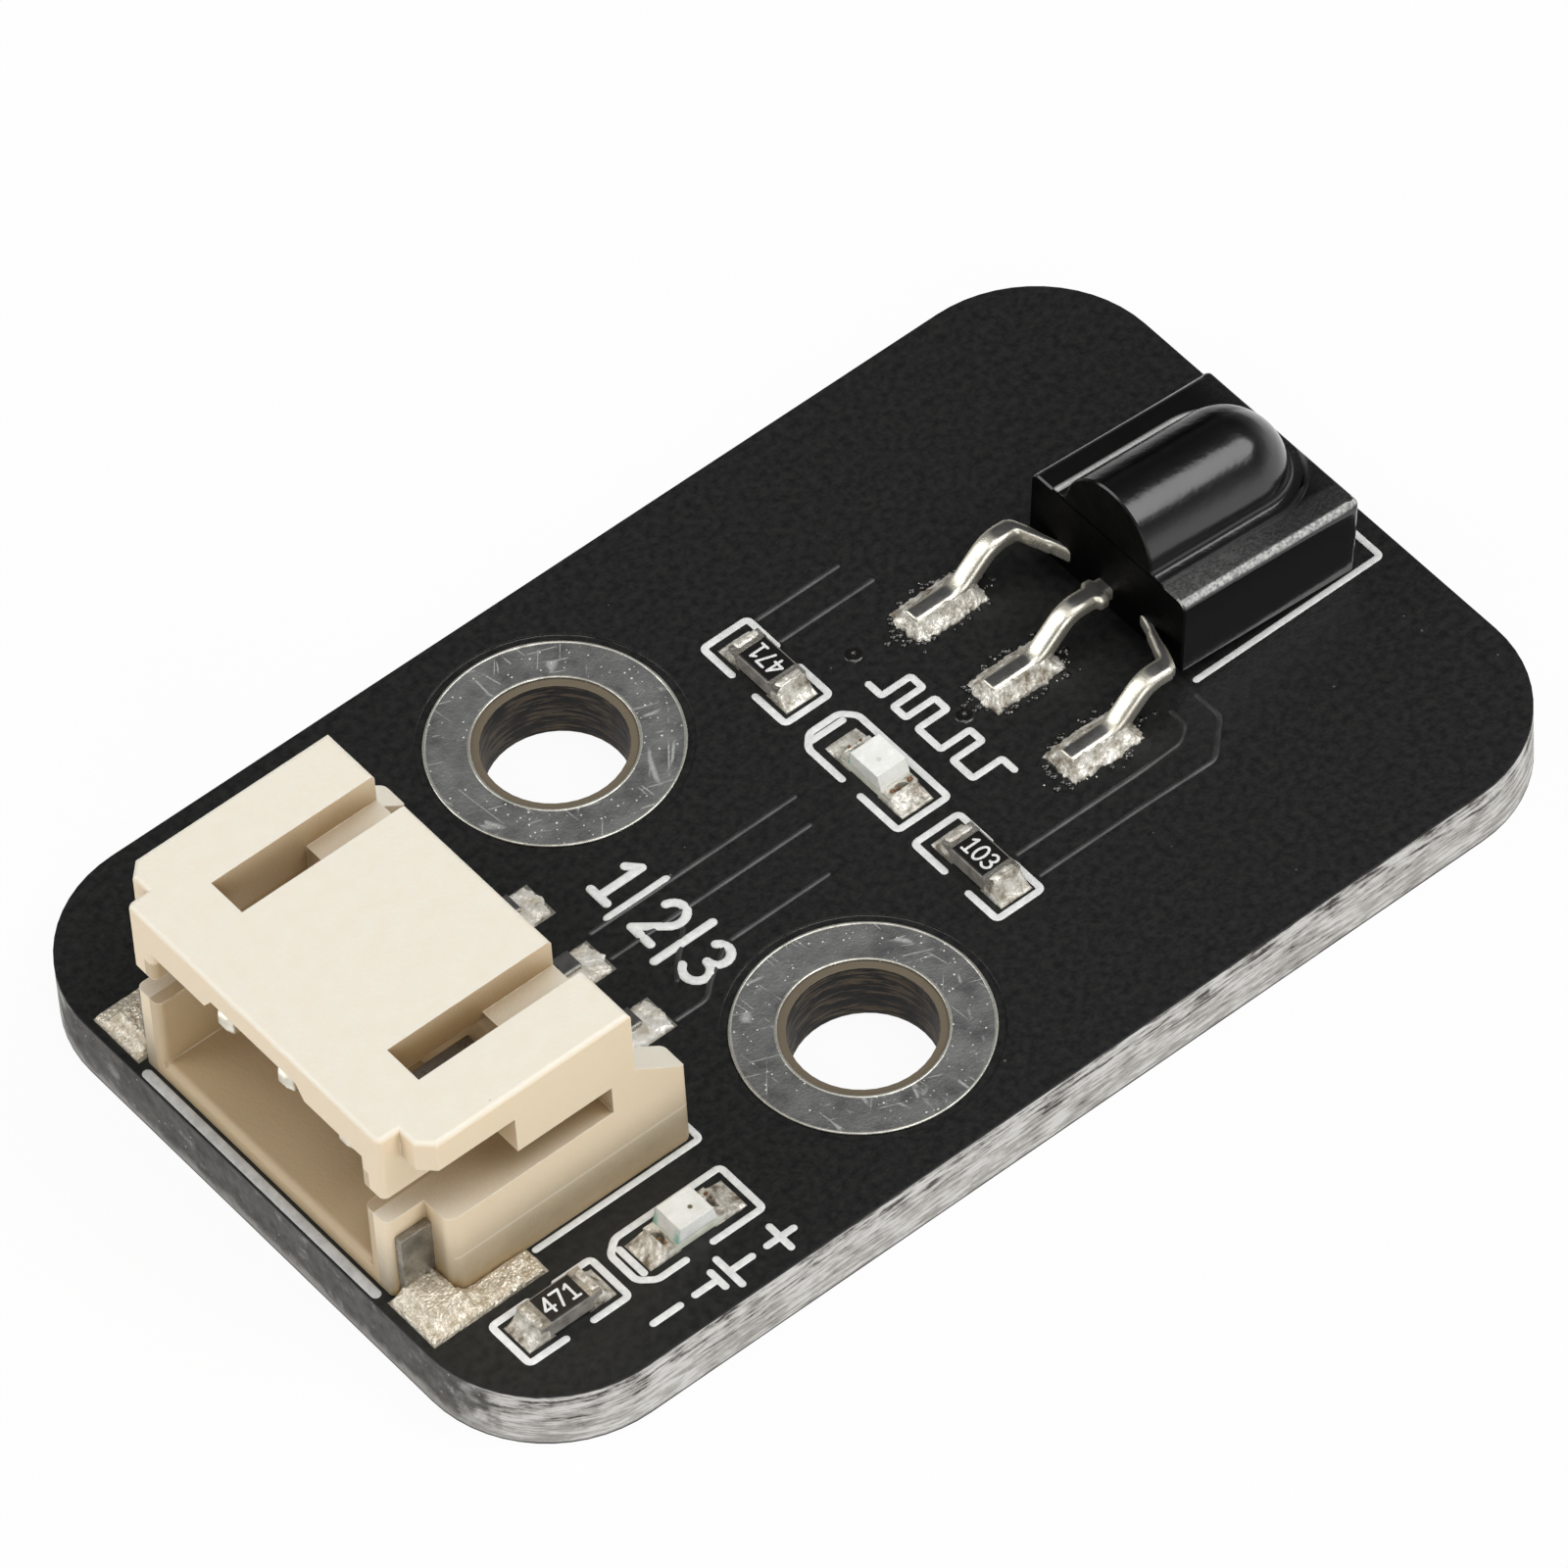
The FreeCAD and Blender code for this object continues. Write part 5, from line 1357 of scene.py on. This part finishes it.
@dataclass
class Receiver:
    """Black moulding on three formed leads, with the chips inside."""

    finishes: Finishes
    length: float = 4.88
    width: float = 5.0
    thickness: float = 2.05
    tilt: float = 5.0
    dome: float = 1.4
    dome_fillet: float = 0.2
    dome_inset: float = 0.1
    side_edge: float = 0.25
    rear_edge: float = 0.08
    corner: float = 0.15
    foot_edge: float = 0.06
    lip_reach: float = 1.8
    lip_rise: float = 0.05
    lip_width: float = 0.13
    lip_fall: float = 0.035
    lip_gap: float = 0.017
    wall_levels: tuple = (1.2, 0.8, 0.5, 0.3)
    front_edge: float = 0.04
    lead_level: float = 0.5
    lead_width: float = 0.5
    lead_thickness: float = 0.38
    lead_inside: float = 1.2
    lead_bend: float = 0.34
    lead_power: float = 0.52
    lead_jog: float = 1.2
    jog_reach: float = 0.5
    stub_width: float = 0.11
    stub_gap: float = 0.24
    stub_half: float = 0.135
    end_round: float = 0.04
    foot_length: float = 1.3
    rise: float = 42.0

    def __post_init__(self) -> None:
        """Take the place of moulding and feet from the CAD, and work out the tilt and dome's foot."""
        low, _ = node_box("receiver_body")
        self.front = float(low[0])
        self.board_top = float(low[2])
        self.foot_x = float(node_box("receiver_lead_middle")[0][0])
        self.angle = math.radians(self.tilt)
        self.lift = self.length * math.sin(self.angle)
        self.dome_foot = math.sqrt((self.dome + self.dome_fillet) ** 2 - self.dome_fillet ** 2)

    def seated(self, points: np.ndarray) -> np.ndarray:
        """Points from the moulding's own frame, tilted back on its rear lower edge."""
        x, y, z = points[..., 0], points[..., 1], points[..., 2]
        return np.stack([self.front + x * math.cos(self.angle) + z * math.sin(self.angle), y,
                         self.board_top + self.lift - x * math.sin(self.angle) + z * math.cos(self.angle)],
                        axis=-1)

    def stations(self) -> tuple[np.ndarray, np.ndarray, np.ndarray, np.ndarray]:
        """Places round the moulding where a half section stands.

        The hub runs back along the left half, the sections fan round the dome's end and it runs
        forward again. Each section reaches from its hub to its point on the rounded outline.

        Returns:
            Hubs, outline points, the stretch of the edge's rounding and its radius.
        """
        straight = self.length - self.dome_inset - self.dome_foot
        half = self.width / 2
        run = np.concatenate([[self.front_edge], np.linspace(0.15, straight, 14)])
        side = np.linspace(straight, self.length - self.corner, 12)[1:]
        bend = arc((self.length - self.corner, half - self.corner), (self.corner, self.corner), 90, 0, 9)[1:]
        rear = np.linspace(half - self.corner, 0.0, 16)[1:]
        left = np.vstack([np.stack([run, np.full_like(run, half)], axis=1),
                          np.stack([side, np.full_like(side, half)], axis=1), bend,
                          np.stack([np.full_like(rear, self.length), rear], axis=1)])
        hub = np.stack([np.minimum(left[:, 0], straight), np.zeros(len(left))], axis=1)
        share = np.concatenate([np.zeros(len(run) + len(side)), np.linspace(0, 1, len(bend) + 1)[1:],
                                np.ones(len(rear))])
        normal = np.stack([np.sin(share * math.pi / 2), np.cos(share * math.pi / 2)], axis=1)
        ray = (left - hub) / np.linalg.norm(left - hub, axis=1, keepdims=True)
        stretch = 1.0 / np.sum(ray * normal, axis=1)
        radius = self.side_edge + (self.rear_edge - self.side_edge) * share
        flip = np.array([1.0, -1.0])
        return (np.vstack([hub, hub[-2::-1] * flip]), np.vstack([left, left[-2::-1] * flip]),
                np.concatenate([stretch, stretch[-2::-1]]), np.concatenate([radius, radius[-2::-1]]))

    def section(self, reach: np.ndarray, stretch: np.ndarray, radius: np.ndarray) -> np.ndarray:
        """Half section of the moulding, from the crown to under the middle, at each station.

        Out from the hub come a quarter circle, a hollow fillet tangent to it, a fine lip that
        slopes towards the dome, the flat shoulder, a rounded edge, the wall, a small lower edge
        and the underside.

        Args:
            reach: distance from hub to outline at each station.
            stretch: stretch of the edge's rounding along each section.
            radius: radius of the edge's rounding.

        Returns:
            Distance from the hub and height, as an array of shape (stations, points, 2).
        """
        lean = math.degrees(math.atan2(self.dome_fillet, self.dome_foot))
        crown = arc((0.0, self.thickness), (self.dome, self.dome), 90, lean, 22)
        fillet = self.dome_fillet
        hollow = arc((self.dome_foot, self.thickness + fillet), (fillet, fillet), 180 + lean, 246, 8)[1:]
        rows = len(reach)
        fixed = np.repeat(np.vstack([crown, hollow])[None], rows, axis=0)
        out = reach[:, None]
        soft = (radius * stretch)[:, None]
        low = radius[:, None]
        near = np.minimum(self.lip_reach, out - soft - self.lip_gap)
        beyond = np.minimum(near + self.lip_fall, out - soft - 0.003)
        start = near - self.lip_width
        lip_out = np.concatenate([start, (start + near) / 2, near, near + 0.01, beyond], axis=1)
        lip_up = self.thickness + self.lip_rise * np.tile([0.05, 0.52, 1.0, 1.0, 0.0], (rows, 1))
        lip = np.stack([lip_out, lip_up], axis=-1)
        share = np.linspace(0, 1, 3)[None, 1:]
        flat = np.stack([beyond + (out - soft - beyond) * share, np.full((rows, 2), self.thickness)], axis=-1)
        flat = np.concatenate([lip, flat], axis=1)
        turn = np.radians(np.linspace(90, 0, 8))[None, 1:]
        edge = np.stack([out - soft + soft * np.cos(turn), self.thickness - low + low * np.sin(turn)],
                        axis=-1)
        level = np.array([*self.wall_levels, self.foot_edge])[None]
        wall = np.stack([out + 0 * level, level + 0 * out], axis=-1)
        under = np.radians(np.linspace(0, -90, 4))[None, 1:]
        small = self.foot_edge
        heel = np.stack([out - small + small * np.cos(under), small + small * np.sin(under) + 0 * out],
                        axis=-1)
        share = np.linspace(1, 0, 6)[None, 1:]
        sole = np.stack([(out - small) * share, 0 * out * share], axis=-1)
        return np.concatenate([fixed, flat, edge, wall, heel, sole], axis=1)

    def build_body(self) -> None:
        """Moulding as half sections carried round its plan, closed by the front face."""
        hub, outline, stretch, radius = self.stations()
        ray = outline - hub
        reach = np.linalg.norm(ray, axis=1)
        ray /= reach[:, None]
        section = self.section(reach, stretch, radius)
        ahead = np.gradient(section[0], axis=0)
        ahead /= np.linalg.norm(ahead, axis=1, keepdims=True)
        inset = section[0] + np.stack([ahead[:, 1], -ahead[:, 0]], axis=1) * self.front_edge
        inset[[0, -1], 0] = 0.0
        inset[0, 1] = self.thickness + self.dome - self.front_edge
        inset[-1, 1] = self.front_edge
        section = np.concatenate([inset[None], section, inset[None]])
        hub = np.vstack([hub[:1] * [0.0, 1.0], hub, hub[-1:] * [0.0, 1.0]])
        ray = np.vstack([ray[:1], ray, ray[-1:]])
        plan = hub[:, None] + ray[:, None] * section[..., :1]
        grid = self.seated(np.concatenate([plan, section[..., 1:]], axis=-1))
        shell = lattice(grid)
        rows, columns = grid.shape[:2]
        left = list(range(columns))
        right = list(range((rows - 1) * columns + 1, rows * columns - 1))
        shell.faces.append(tuple(left + right[::-1]))
        body = self.finishes.piece("receiver_moulding", shell, "black_epoxy", Slot.EPOXY, 24.0)
        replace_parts(body, "receiver_body")

    def lead_path(self) -> np.ndarray:
        """Side form of a lead's middle line: foot, rise, and the flat that enters the moulding."""
        foot_z = self.board_top + self.lead_thickness / 2
        bend = self.foot_x + self.foot_length
        slope, fall = math.tan(math.radians(self.rise)), math.tan(self.angle)
        entry_x = self.front + self.lead_level * math.sin(self.angle)
        entry_z = self.board_top + self.lift + self.lead_level * math.cos(self.angle)
        top_x = (entry_z + fall * entry_x - foot_z + slope * bend) / (slope + fall)
        end = self.front + self.lead_inside
        points = [(self.foot_x, foot_z), (bend, foot_z), (top_x, foot_z + slope * (top_x - bend)),
                  (end, entry_z - fall * (end - entry_x))]
        return softened(points, self.lead_bend, count=9)

    def lead(self, offset: float) -> Shell:
        """One lead: a section with rounded edges, carried along its side form.

        The section is (cos t, sin t), each part raised to lead_power with its sign kept, which is
        nearly |a|^4 + |b|^4 = 1. An outer lead moves inwards by lead_jog as it enters the moulding,
        and each has the stub of a cut tie bar on both sides before that.

        Args:
            offset: distance of its foot from the middle line.

        Returns:
            The closed surface.
        """
        path = self.lead_path()
        length = np.concatenate([[0.0], np.cumsum(np.linalg.norm(np.diff(path, axis=0), axis=1))])
        steps = np.unique(np.concatenate([[0.0, 0.012, 0.04], np.linspace(0.08, length[-1], 110)]))
        x = np.interp(steps, length, path[:, 0])
        z = np.interp(steps, length, path[:, 1])
        tangent = np.stack([np.gradient(x, steps), np.gradient(z, steps)], axis=1)
        tangent /= np.linalg.norm(tangent, axis=1, keepdims=True)
        gap = self.front - x
        inward = self.lead_jog * (1 - np.clip((gap + 0.05) / self.jog_reach, 0, 1)) ** 1.4
        middle = offset - np.sign(offset) * inward
        stub = self.stub_width * np.clip((self.stub_half - np.abs(gap - self.stub_gap)) / 0.03, 0, 1)
        half = self.lead_width / 2 + stub
        short = ((self.end_round - steps) / self.end_round).clip(0, 1)
        end = np.sqrt(np.clip(1 - short ** 2, 0, 1)) * 0.12 + 0.88
        turn = np.linspace(0, math.tau, 28, endpoint=False)
        side = np.sign(np.cos(turn)) * np.abs(np.cos(turn)) ** self.lead_power
        rise = np.sign(np.sin(turn)) * np.abs(np.sin(turn)) ** self.lead_power
        across = side[None] * (half * end)[:, None]
        up = rise[None] * (self.lead_thickness / 2 * end)[:, None]
        grid = np.stack([x[:, None] - tangent[:, 1:] * up, middle[:, None] + across,
                         z[:, None] + tangent[:, :1] * up], axis=-1)
        return capped(grid)

    def build_leads(self) -> None:
        """The three leads; the outer ones jog inwards where they enter the moulding."""
        for side, offset in LEADS:
            made = self.finishes.piece("formed_lead_" + side, self.lead(offset), "lead_tin", Slot.TIN, 50.0)
            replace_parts(made, "receiver_lead_" + side)

    def build(self) -> None:
        """Make the moulding and its leads and dress the chips."""
        self.build_body()
        self.build_leads()
        for chip in ("photodiode_chip", "amplifier_chip"):
            self.finishes.dress(chip, "grey_chip")


@dataclass
class Chips:
    """Resistors and lamps."""

    finishes: Finishes
    figure_height: float = 0.46
    figure_line: float = 0.062
    figure_rise: float = 0.008
    bead_height: float = 0.06
    signal_spots: tuple = ((16.42, -0.8, 0.06), (16.56, -0.83, 0.05), (16.9, -0.8, 0.07), (16.8, 0.7, 0.04),
                           (16.5, 0.72, 0.04))
    power_spots: tuple = ((6.76, -6.42, 0.05), (6.78, -6.56, 0.04), (5.33, -6.85, 0.05), (5.3, -6.7, 0.04))

    def build_figures(self) -> None:
        """White figures on the resistors' coats."""
        shells = []
        for number, text, turn in ((1, "471", 90.0), (2, "103", -90.0), (3, "471", 0.0)):
            low, high = node_box(f"resistor_{number}_coat")
            middle = (low + high) / 2
            for path in Figures().row(text, (-0.3, 0.0, 0.3), self.figure_height):
                placed = turned(path, (middle[0], middle[1]), turn)
                shells.append(stroke(placed, self.figure_line, self.figure_rise, high[2]))
        self.finishes.piece("resistor_figures", joined(shells), "white_print", Slot.COAT, 50.0)

    def build_notches(self) -> None:
        """Plated beads in the notches at the ends of the lamps' boards."""
        edge_x = float(node_box("circuit_board")[0][0])
        shells = []
        for lamp, spots in (("signal", self.signal_spots), ("power", self.power_spots)):
            top = float(node_box(lamp + "_led_base")[1][2])
            for x, y, size in spots:
                along, across = x + edge_x, 0.8 * size
                bead = (along - size, along + size, y - across, y + across)
                shells.append(mound(bead, top + 0.01, lambda u, v: np.full_like(u, self.bead_height),
                                    (12, 12), 0.45, 2.0))
        self.finishes.piece("lamp_notches", joined(shells), "amber_plating", Slot.LAMP_BASE, 50.0)

    def build(self) -> None:
        """Dress the chips."""
        self.build_figures()
        self.build_notches()
        for number in (1, 2, 3):
            self.finishes.dress(f"resistor_{number}_ceramic", "white_ceramic")
            self.finishes.dress(f"resistor_{number}_caps", "land_tin")
            self.finishes.dress(f"resistor_{number}_coat", "black_coat")
        for lamp in ("signal_led", "power_led"):
            self.finishes.dress(lamp + "_base", "lamp_board")
            self.finishes.dress(lamp + "_terminals", "smooth_solder")
            self.finishes.dress(lamp + "_lens", lamp.replace("led", "lamp") + "_resin")
            self.finishes.dress(lamp + "_chip", "grey_chip")


def mound(box: tuple[float, float, float, float], base: float,
          height: Callable[[np.ndarray, np.ndarray], np.ndarray], count: tuple[int, int] = (40, 28),
          rounding: float = 0.3, lip: float = 6.0, fray: float = 0.0) -> Shell:
    """Closed mound over a plane rectangle with rounded corners.

    At u and v from -1 to 1 the plan is x = u sqrt(1 - k v^2), y = v sqrt(1 - k u^2), where k is the
    rounding, and the top is height(x, y) sqrt(1 - max(|u|, |v|)^lip) above base. The rim moves in
    and out by fray times a seeded ripple.

    Args:
        box: lowest and highest x, then lowest and highest y.
        base: height of the surface that it stands on.
        height: height of the solder over base at x and y.
        count: grid points along x and y.
        rounding: from 0 for square corners to 0.5 for an oval.
        lip: how close to the rim the top starts to fall.
        fray: how far the rim moves in and out.

    Returns:
        The closed surface.
    """
    u, v = np.meshgrid(np.sin(np.linspace(-math.pi / 2, math.pi / 2, count[0])),
                       np.sin(np.linspace(-math.pi / 2, math.pi / 2, count[1])), indexing="ij")
    x = (box[0] + box[1]) / 2 + (box[1] - box[0]) / 2 * u * np.sqrt(1 - rounding * v ** 2)
    y = (box[2] + box[3]) / 2 + (box[3] - box[2]) / 2 * v * np.sqrt(1 - rounding * u ** 2)
    rim = np.maximum(np.abs(u), np.abs(v))
    if fray:
        push = fray * rim ** 6 * (ripple(x, y, 0.3, 401) + 0.6 * ripple(x, y, 0.12, 402))
        x = x + push * u
        y = y + push * v
    top = base + height(x, y) * np.sqrt(np.maximum(1 - rim ** lip, 0.0))
    bottom = base - 0.015 * (1 - rim ** 2)
    upper = lattice(np.stack([x, y, top], axis=-1))
    lower = lattice(np.stack([x, y, bottom], axis=-1))
    lower.faces = [face[::-1] for face in lower.faces]
    return joined([upper, lower])


@dataclass
class Solder:
    """Solder joints, each a mound that climbs its metal."""

    finishes: Finishes
    cling: float = 0.15
    land_half: float = 0.5
    foot_half: float = 0.24
    foot_length: float = 1.45
    contact_foot: float = 2.0
    spill: float = 0.06
    chip_half: float = 0.44
    chip_start: float = 0.8
    resistor_end: tuple = (2.3, 0.56, 0.43)
    lamp_end: tuple = (2.56, 0.72, 0.2)

    def climb(self, foot: tuple[float, float, float, float], reach: float, skirt: float, seed: int,
              rough: float) -> Callable[[np.ndarray, np.ndarray], np.ndarray]:
        """Height of solder round a foot, skirt + reach exp(-d / cling), at distance d from it.

        Args:
            foot: lowest and highest x, then lowest and highest y of the foot.
            reach: how far it climbs the foot.
            skirt: its height away from the foot.
            seed: seed of its unevenness.
            rough: height of its unevenness.

        Returns:
            The height as a function of x and y.
        """
        def height(x: np.ndarray, y: np.ndarray) -> np.ndarray:
            """Height over the board at x and y."""
            beyond_x = np.maximum(np.maximum(foot[0] - x, x - foot[1]), 0.0)
            beyond_y = np.maximum(np.maximum(foot[2] - y, y - foot[3]), 0.0)
            away = np.hypot(beyond_x, beyond_y)
            uneven = ripple(x, y, 0.45, seed) + 0.5 * ripple(x, y, 0.16, seed + 1)
            return np.maximum(skirt + reach * np.exp(-away / self.cling) + rough * uneven, 0.01)
        return height

    def build_receiver_joints(self) -> None:
        """Joints under the receiver's feet."""
        shells = []
        low, high = node_box("receiver_lands")
        for number, (side, offset) in enumerate(LEADS):
            start = node_box("receiver_lead_" + side)[0][0]
            foot = (start, start + self.foot_length, offset - self.foot_half, offset + self.foot_half)
            reach = self.land_half + self.spill
            box = (low[0] - 0.05, high[0] + self.spill, offset - reach, offset + reach)
            shells.append(mound(box, high[2], self.climb(foot, 0.26, 0.08, 11 + number * 5, 0.03),
                                (110, 80), 0.12, 8.0, 0.05))
        self.cover("receiver_joints", joined(shells), "smooth_solder", "receiver_solder")

    def build_contact_joints(self) -> None:
        """Joints under the socket's contacts."""
        shells = []
        low, high = node_box("contact_lands")
        for number in range(3):
            contact_low, contact_high = node_box(f"socket_contact_{number + 1}")
            offset, end = (contact_low[1] + contact_high[1]) / 2, contact_high[0]
            foot = (end - self.contact_foot, end, offset - self.foot_half, offset + self.foot_half)
            box = (low[0] + 0.3, high[0], offset - self.land_half, offset + self.land_half)
            shells.append(mound(box, high[2], self.climb(foot, 0.3, 0.1, 31 + number * 5, 0.03),
                                (90, 60), 0.2, 5.0, 0.04))
        self.cover("contact_joints", joined(shells), "bright_solder", "contact_solder")

    def build_anchor_joints(self) -> None:
        """Coarse joints beside the socket, in front of and along its step."""
        shells = []
        land_low, land_high = node_box("anchor_lands")
        wall = node_box("socket_housing")[1][1]
        for number, (side, sign) in enumerate((("left", 1.0), ("right", -1.0))):
            tab_low, tab_high = node_box("socket_anchor_" + side)
            inner, foot_end = sorted((abs(tab_low[1]), abs(tab_high[1])))
            step, outer = tab_low[0] + 0.8, land_high[1]
            height = self.climb((tab_low[0], step, inner, foot_end), 0.3, 0.13, 61 + number * 7, 0.035)
            front = mound((land_low[0], step + 0.05, inner + 0.02, outer), land_high[2], height,
                          (64, 64), 0.08, 10.0)
            along = mound((step - 0.25, land_high[0], wall + 0.01, outer), land_high[2], height,
                          (80, 40), 0.08, 10.0)
            for shell in (front, along):
                shell.corners = shell.corners * np.array([1.0, sign, 1.0])
                shells.append(shell)
        self.cover("anchor_joints", joined(shells), "granular_solder", "anchor_solder")

    def hollow(self, end: float, crest: float, side: float,
               seed: int) -> Callable[[np.ndarray, np.ndarray], np.ndarray]:
        """Hollow height of solder at a chip's end, crest (1 - s)^2.2 and a thin skirt.

        The share s runs from 0 at chip_start to 1 at the end of the solder, on either side.

        Args:
            end: distance of the solder's end from the chip's middle.
            crest: how far it climbs the chip.
            side: 1 or -1, the end of the chip that it is on.
            seed: seed of its unevenness.

        Returns:
            The height as a function of the offset along and across the chip.
        """
        def height(along: np.ndarray, across: np.ndarray) -> np.ndarray:
            """Height over the land at an offset from the chip's middle."""
            share = np.clip((side * along - self.chip_start) / (end - self.chip_start), 0.0, 1.0)
            fall = (crest * (1 - share) ** 2.2 + 0.05) * (1 - 0.2 * (np.abs(across) / 0.43) ** 4)
            return np.maximum(fall + 0.022 * ripple(along, across, 0.24, seed), 0.01)
        return height

    def build_chip_joints(self) -> None:
        """Hollow-faced joints at the ends of the chips."""
        shells = []
        top = node_box("chip_lands")[1][2]
        nodes = [f"resistor_{number}_caps" for number in (1, 2, 3)]
        nodes += ["signal_led_terminals", "power_led_terminals"]
        for number, node in enumerate(nodes):
            low, high = node_box(node)
            middle = (low + high) / 2
            across = (high - low)[1] > (high - low)[0]
            span, inner, crest = self.resistor_end if node.startswith("resistor") else self.lamp_end
            for side in (-1.0, 1.0):
                ends = sorted((side * inner, side * span / 2))
                box = (ends[0], ends[1], -self.chip_half, self.chip_half)
                shell = mound(box, 0.0, self.hollow(span / 2, crest, side, 80 + number), (48, 40), 0.1, 10.0)
                plan = shell.corners
                if across:
                    plan = np.stack([-plan[:, 1], plan[:, 0], plan[:, 2]], axis=1)
                shell.corners = plan + np.array([middle[0], middle[1], top])
                shells.append(shell)
        self.cover("chip_joints", joined(shells), "smooth_solder", "chip_solder")

    def cover(self, name: str, shell: Shell, material: str, node: str) -> None:
        """Make a piece that stands for a CAD node of plain mounds."""
        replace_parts(self.finishes.piece(name, shell, material, Slot.SOLDER), node)

    def build(self) -> None:
        """Make every joint."""
        self.build_receiver_joints()
        self.build_contact_joints()
        self.build_anchor_joints()
        self.build_chip_joints()


def corner_lists() -> list[list[float]]:
    """Lowest and highest corner of everything that belongs to the object, in metres."""
    return [[float(value) for value in corner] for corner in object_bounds()]


def main(cad_box: list[list[float]]) -> None:
    """Build the studio and the looks of each sub-assembly in order.

    Args:
        cad_box: corners of the CAD model's box; not used.
    """
    Studio().build()
    finishes = Finishes()
    finishes.build()
    for assembly in (CircuitBoard(finishes), Socket(finishes), Receiver(finishes), Chips(finishes),
                     Solder(finishes)):
        assembly.build()
        LOG.info("built %s", type(assembly).__name__)


if __name__ == "__main__":
    logging.basicConfig(level=logging.INFO, format="%(name)s: %(message)s")
    main(corner_lists())
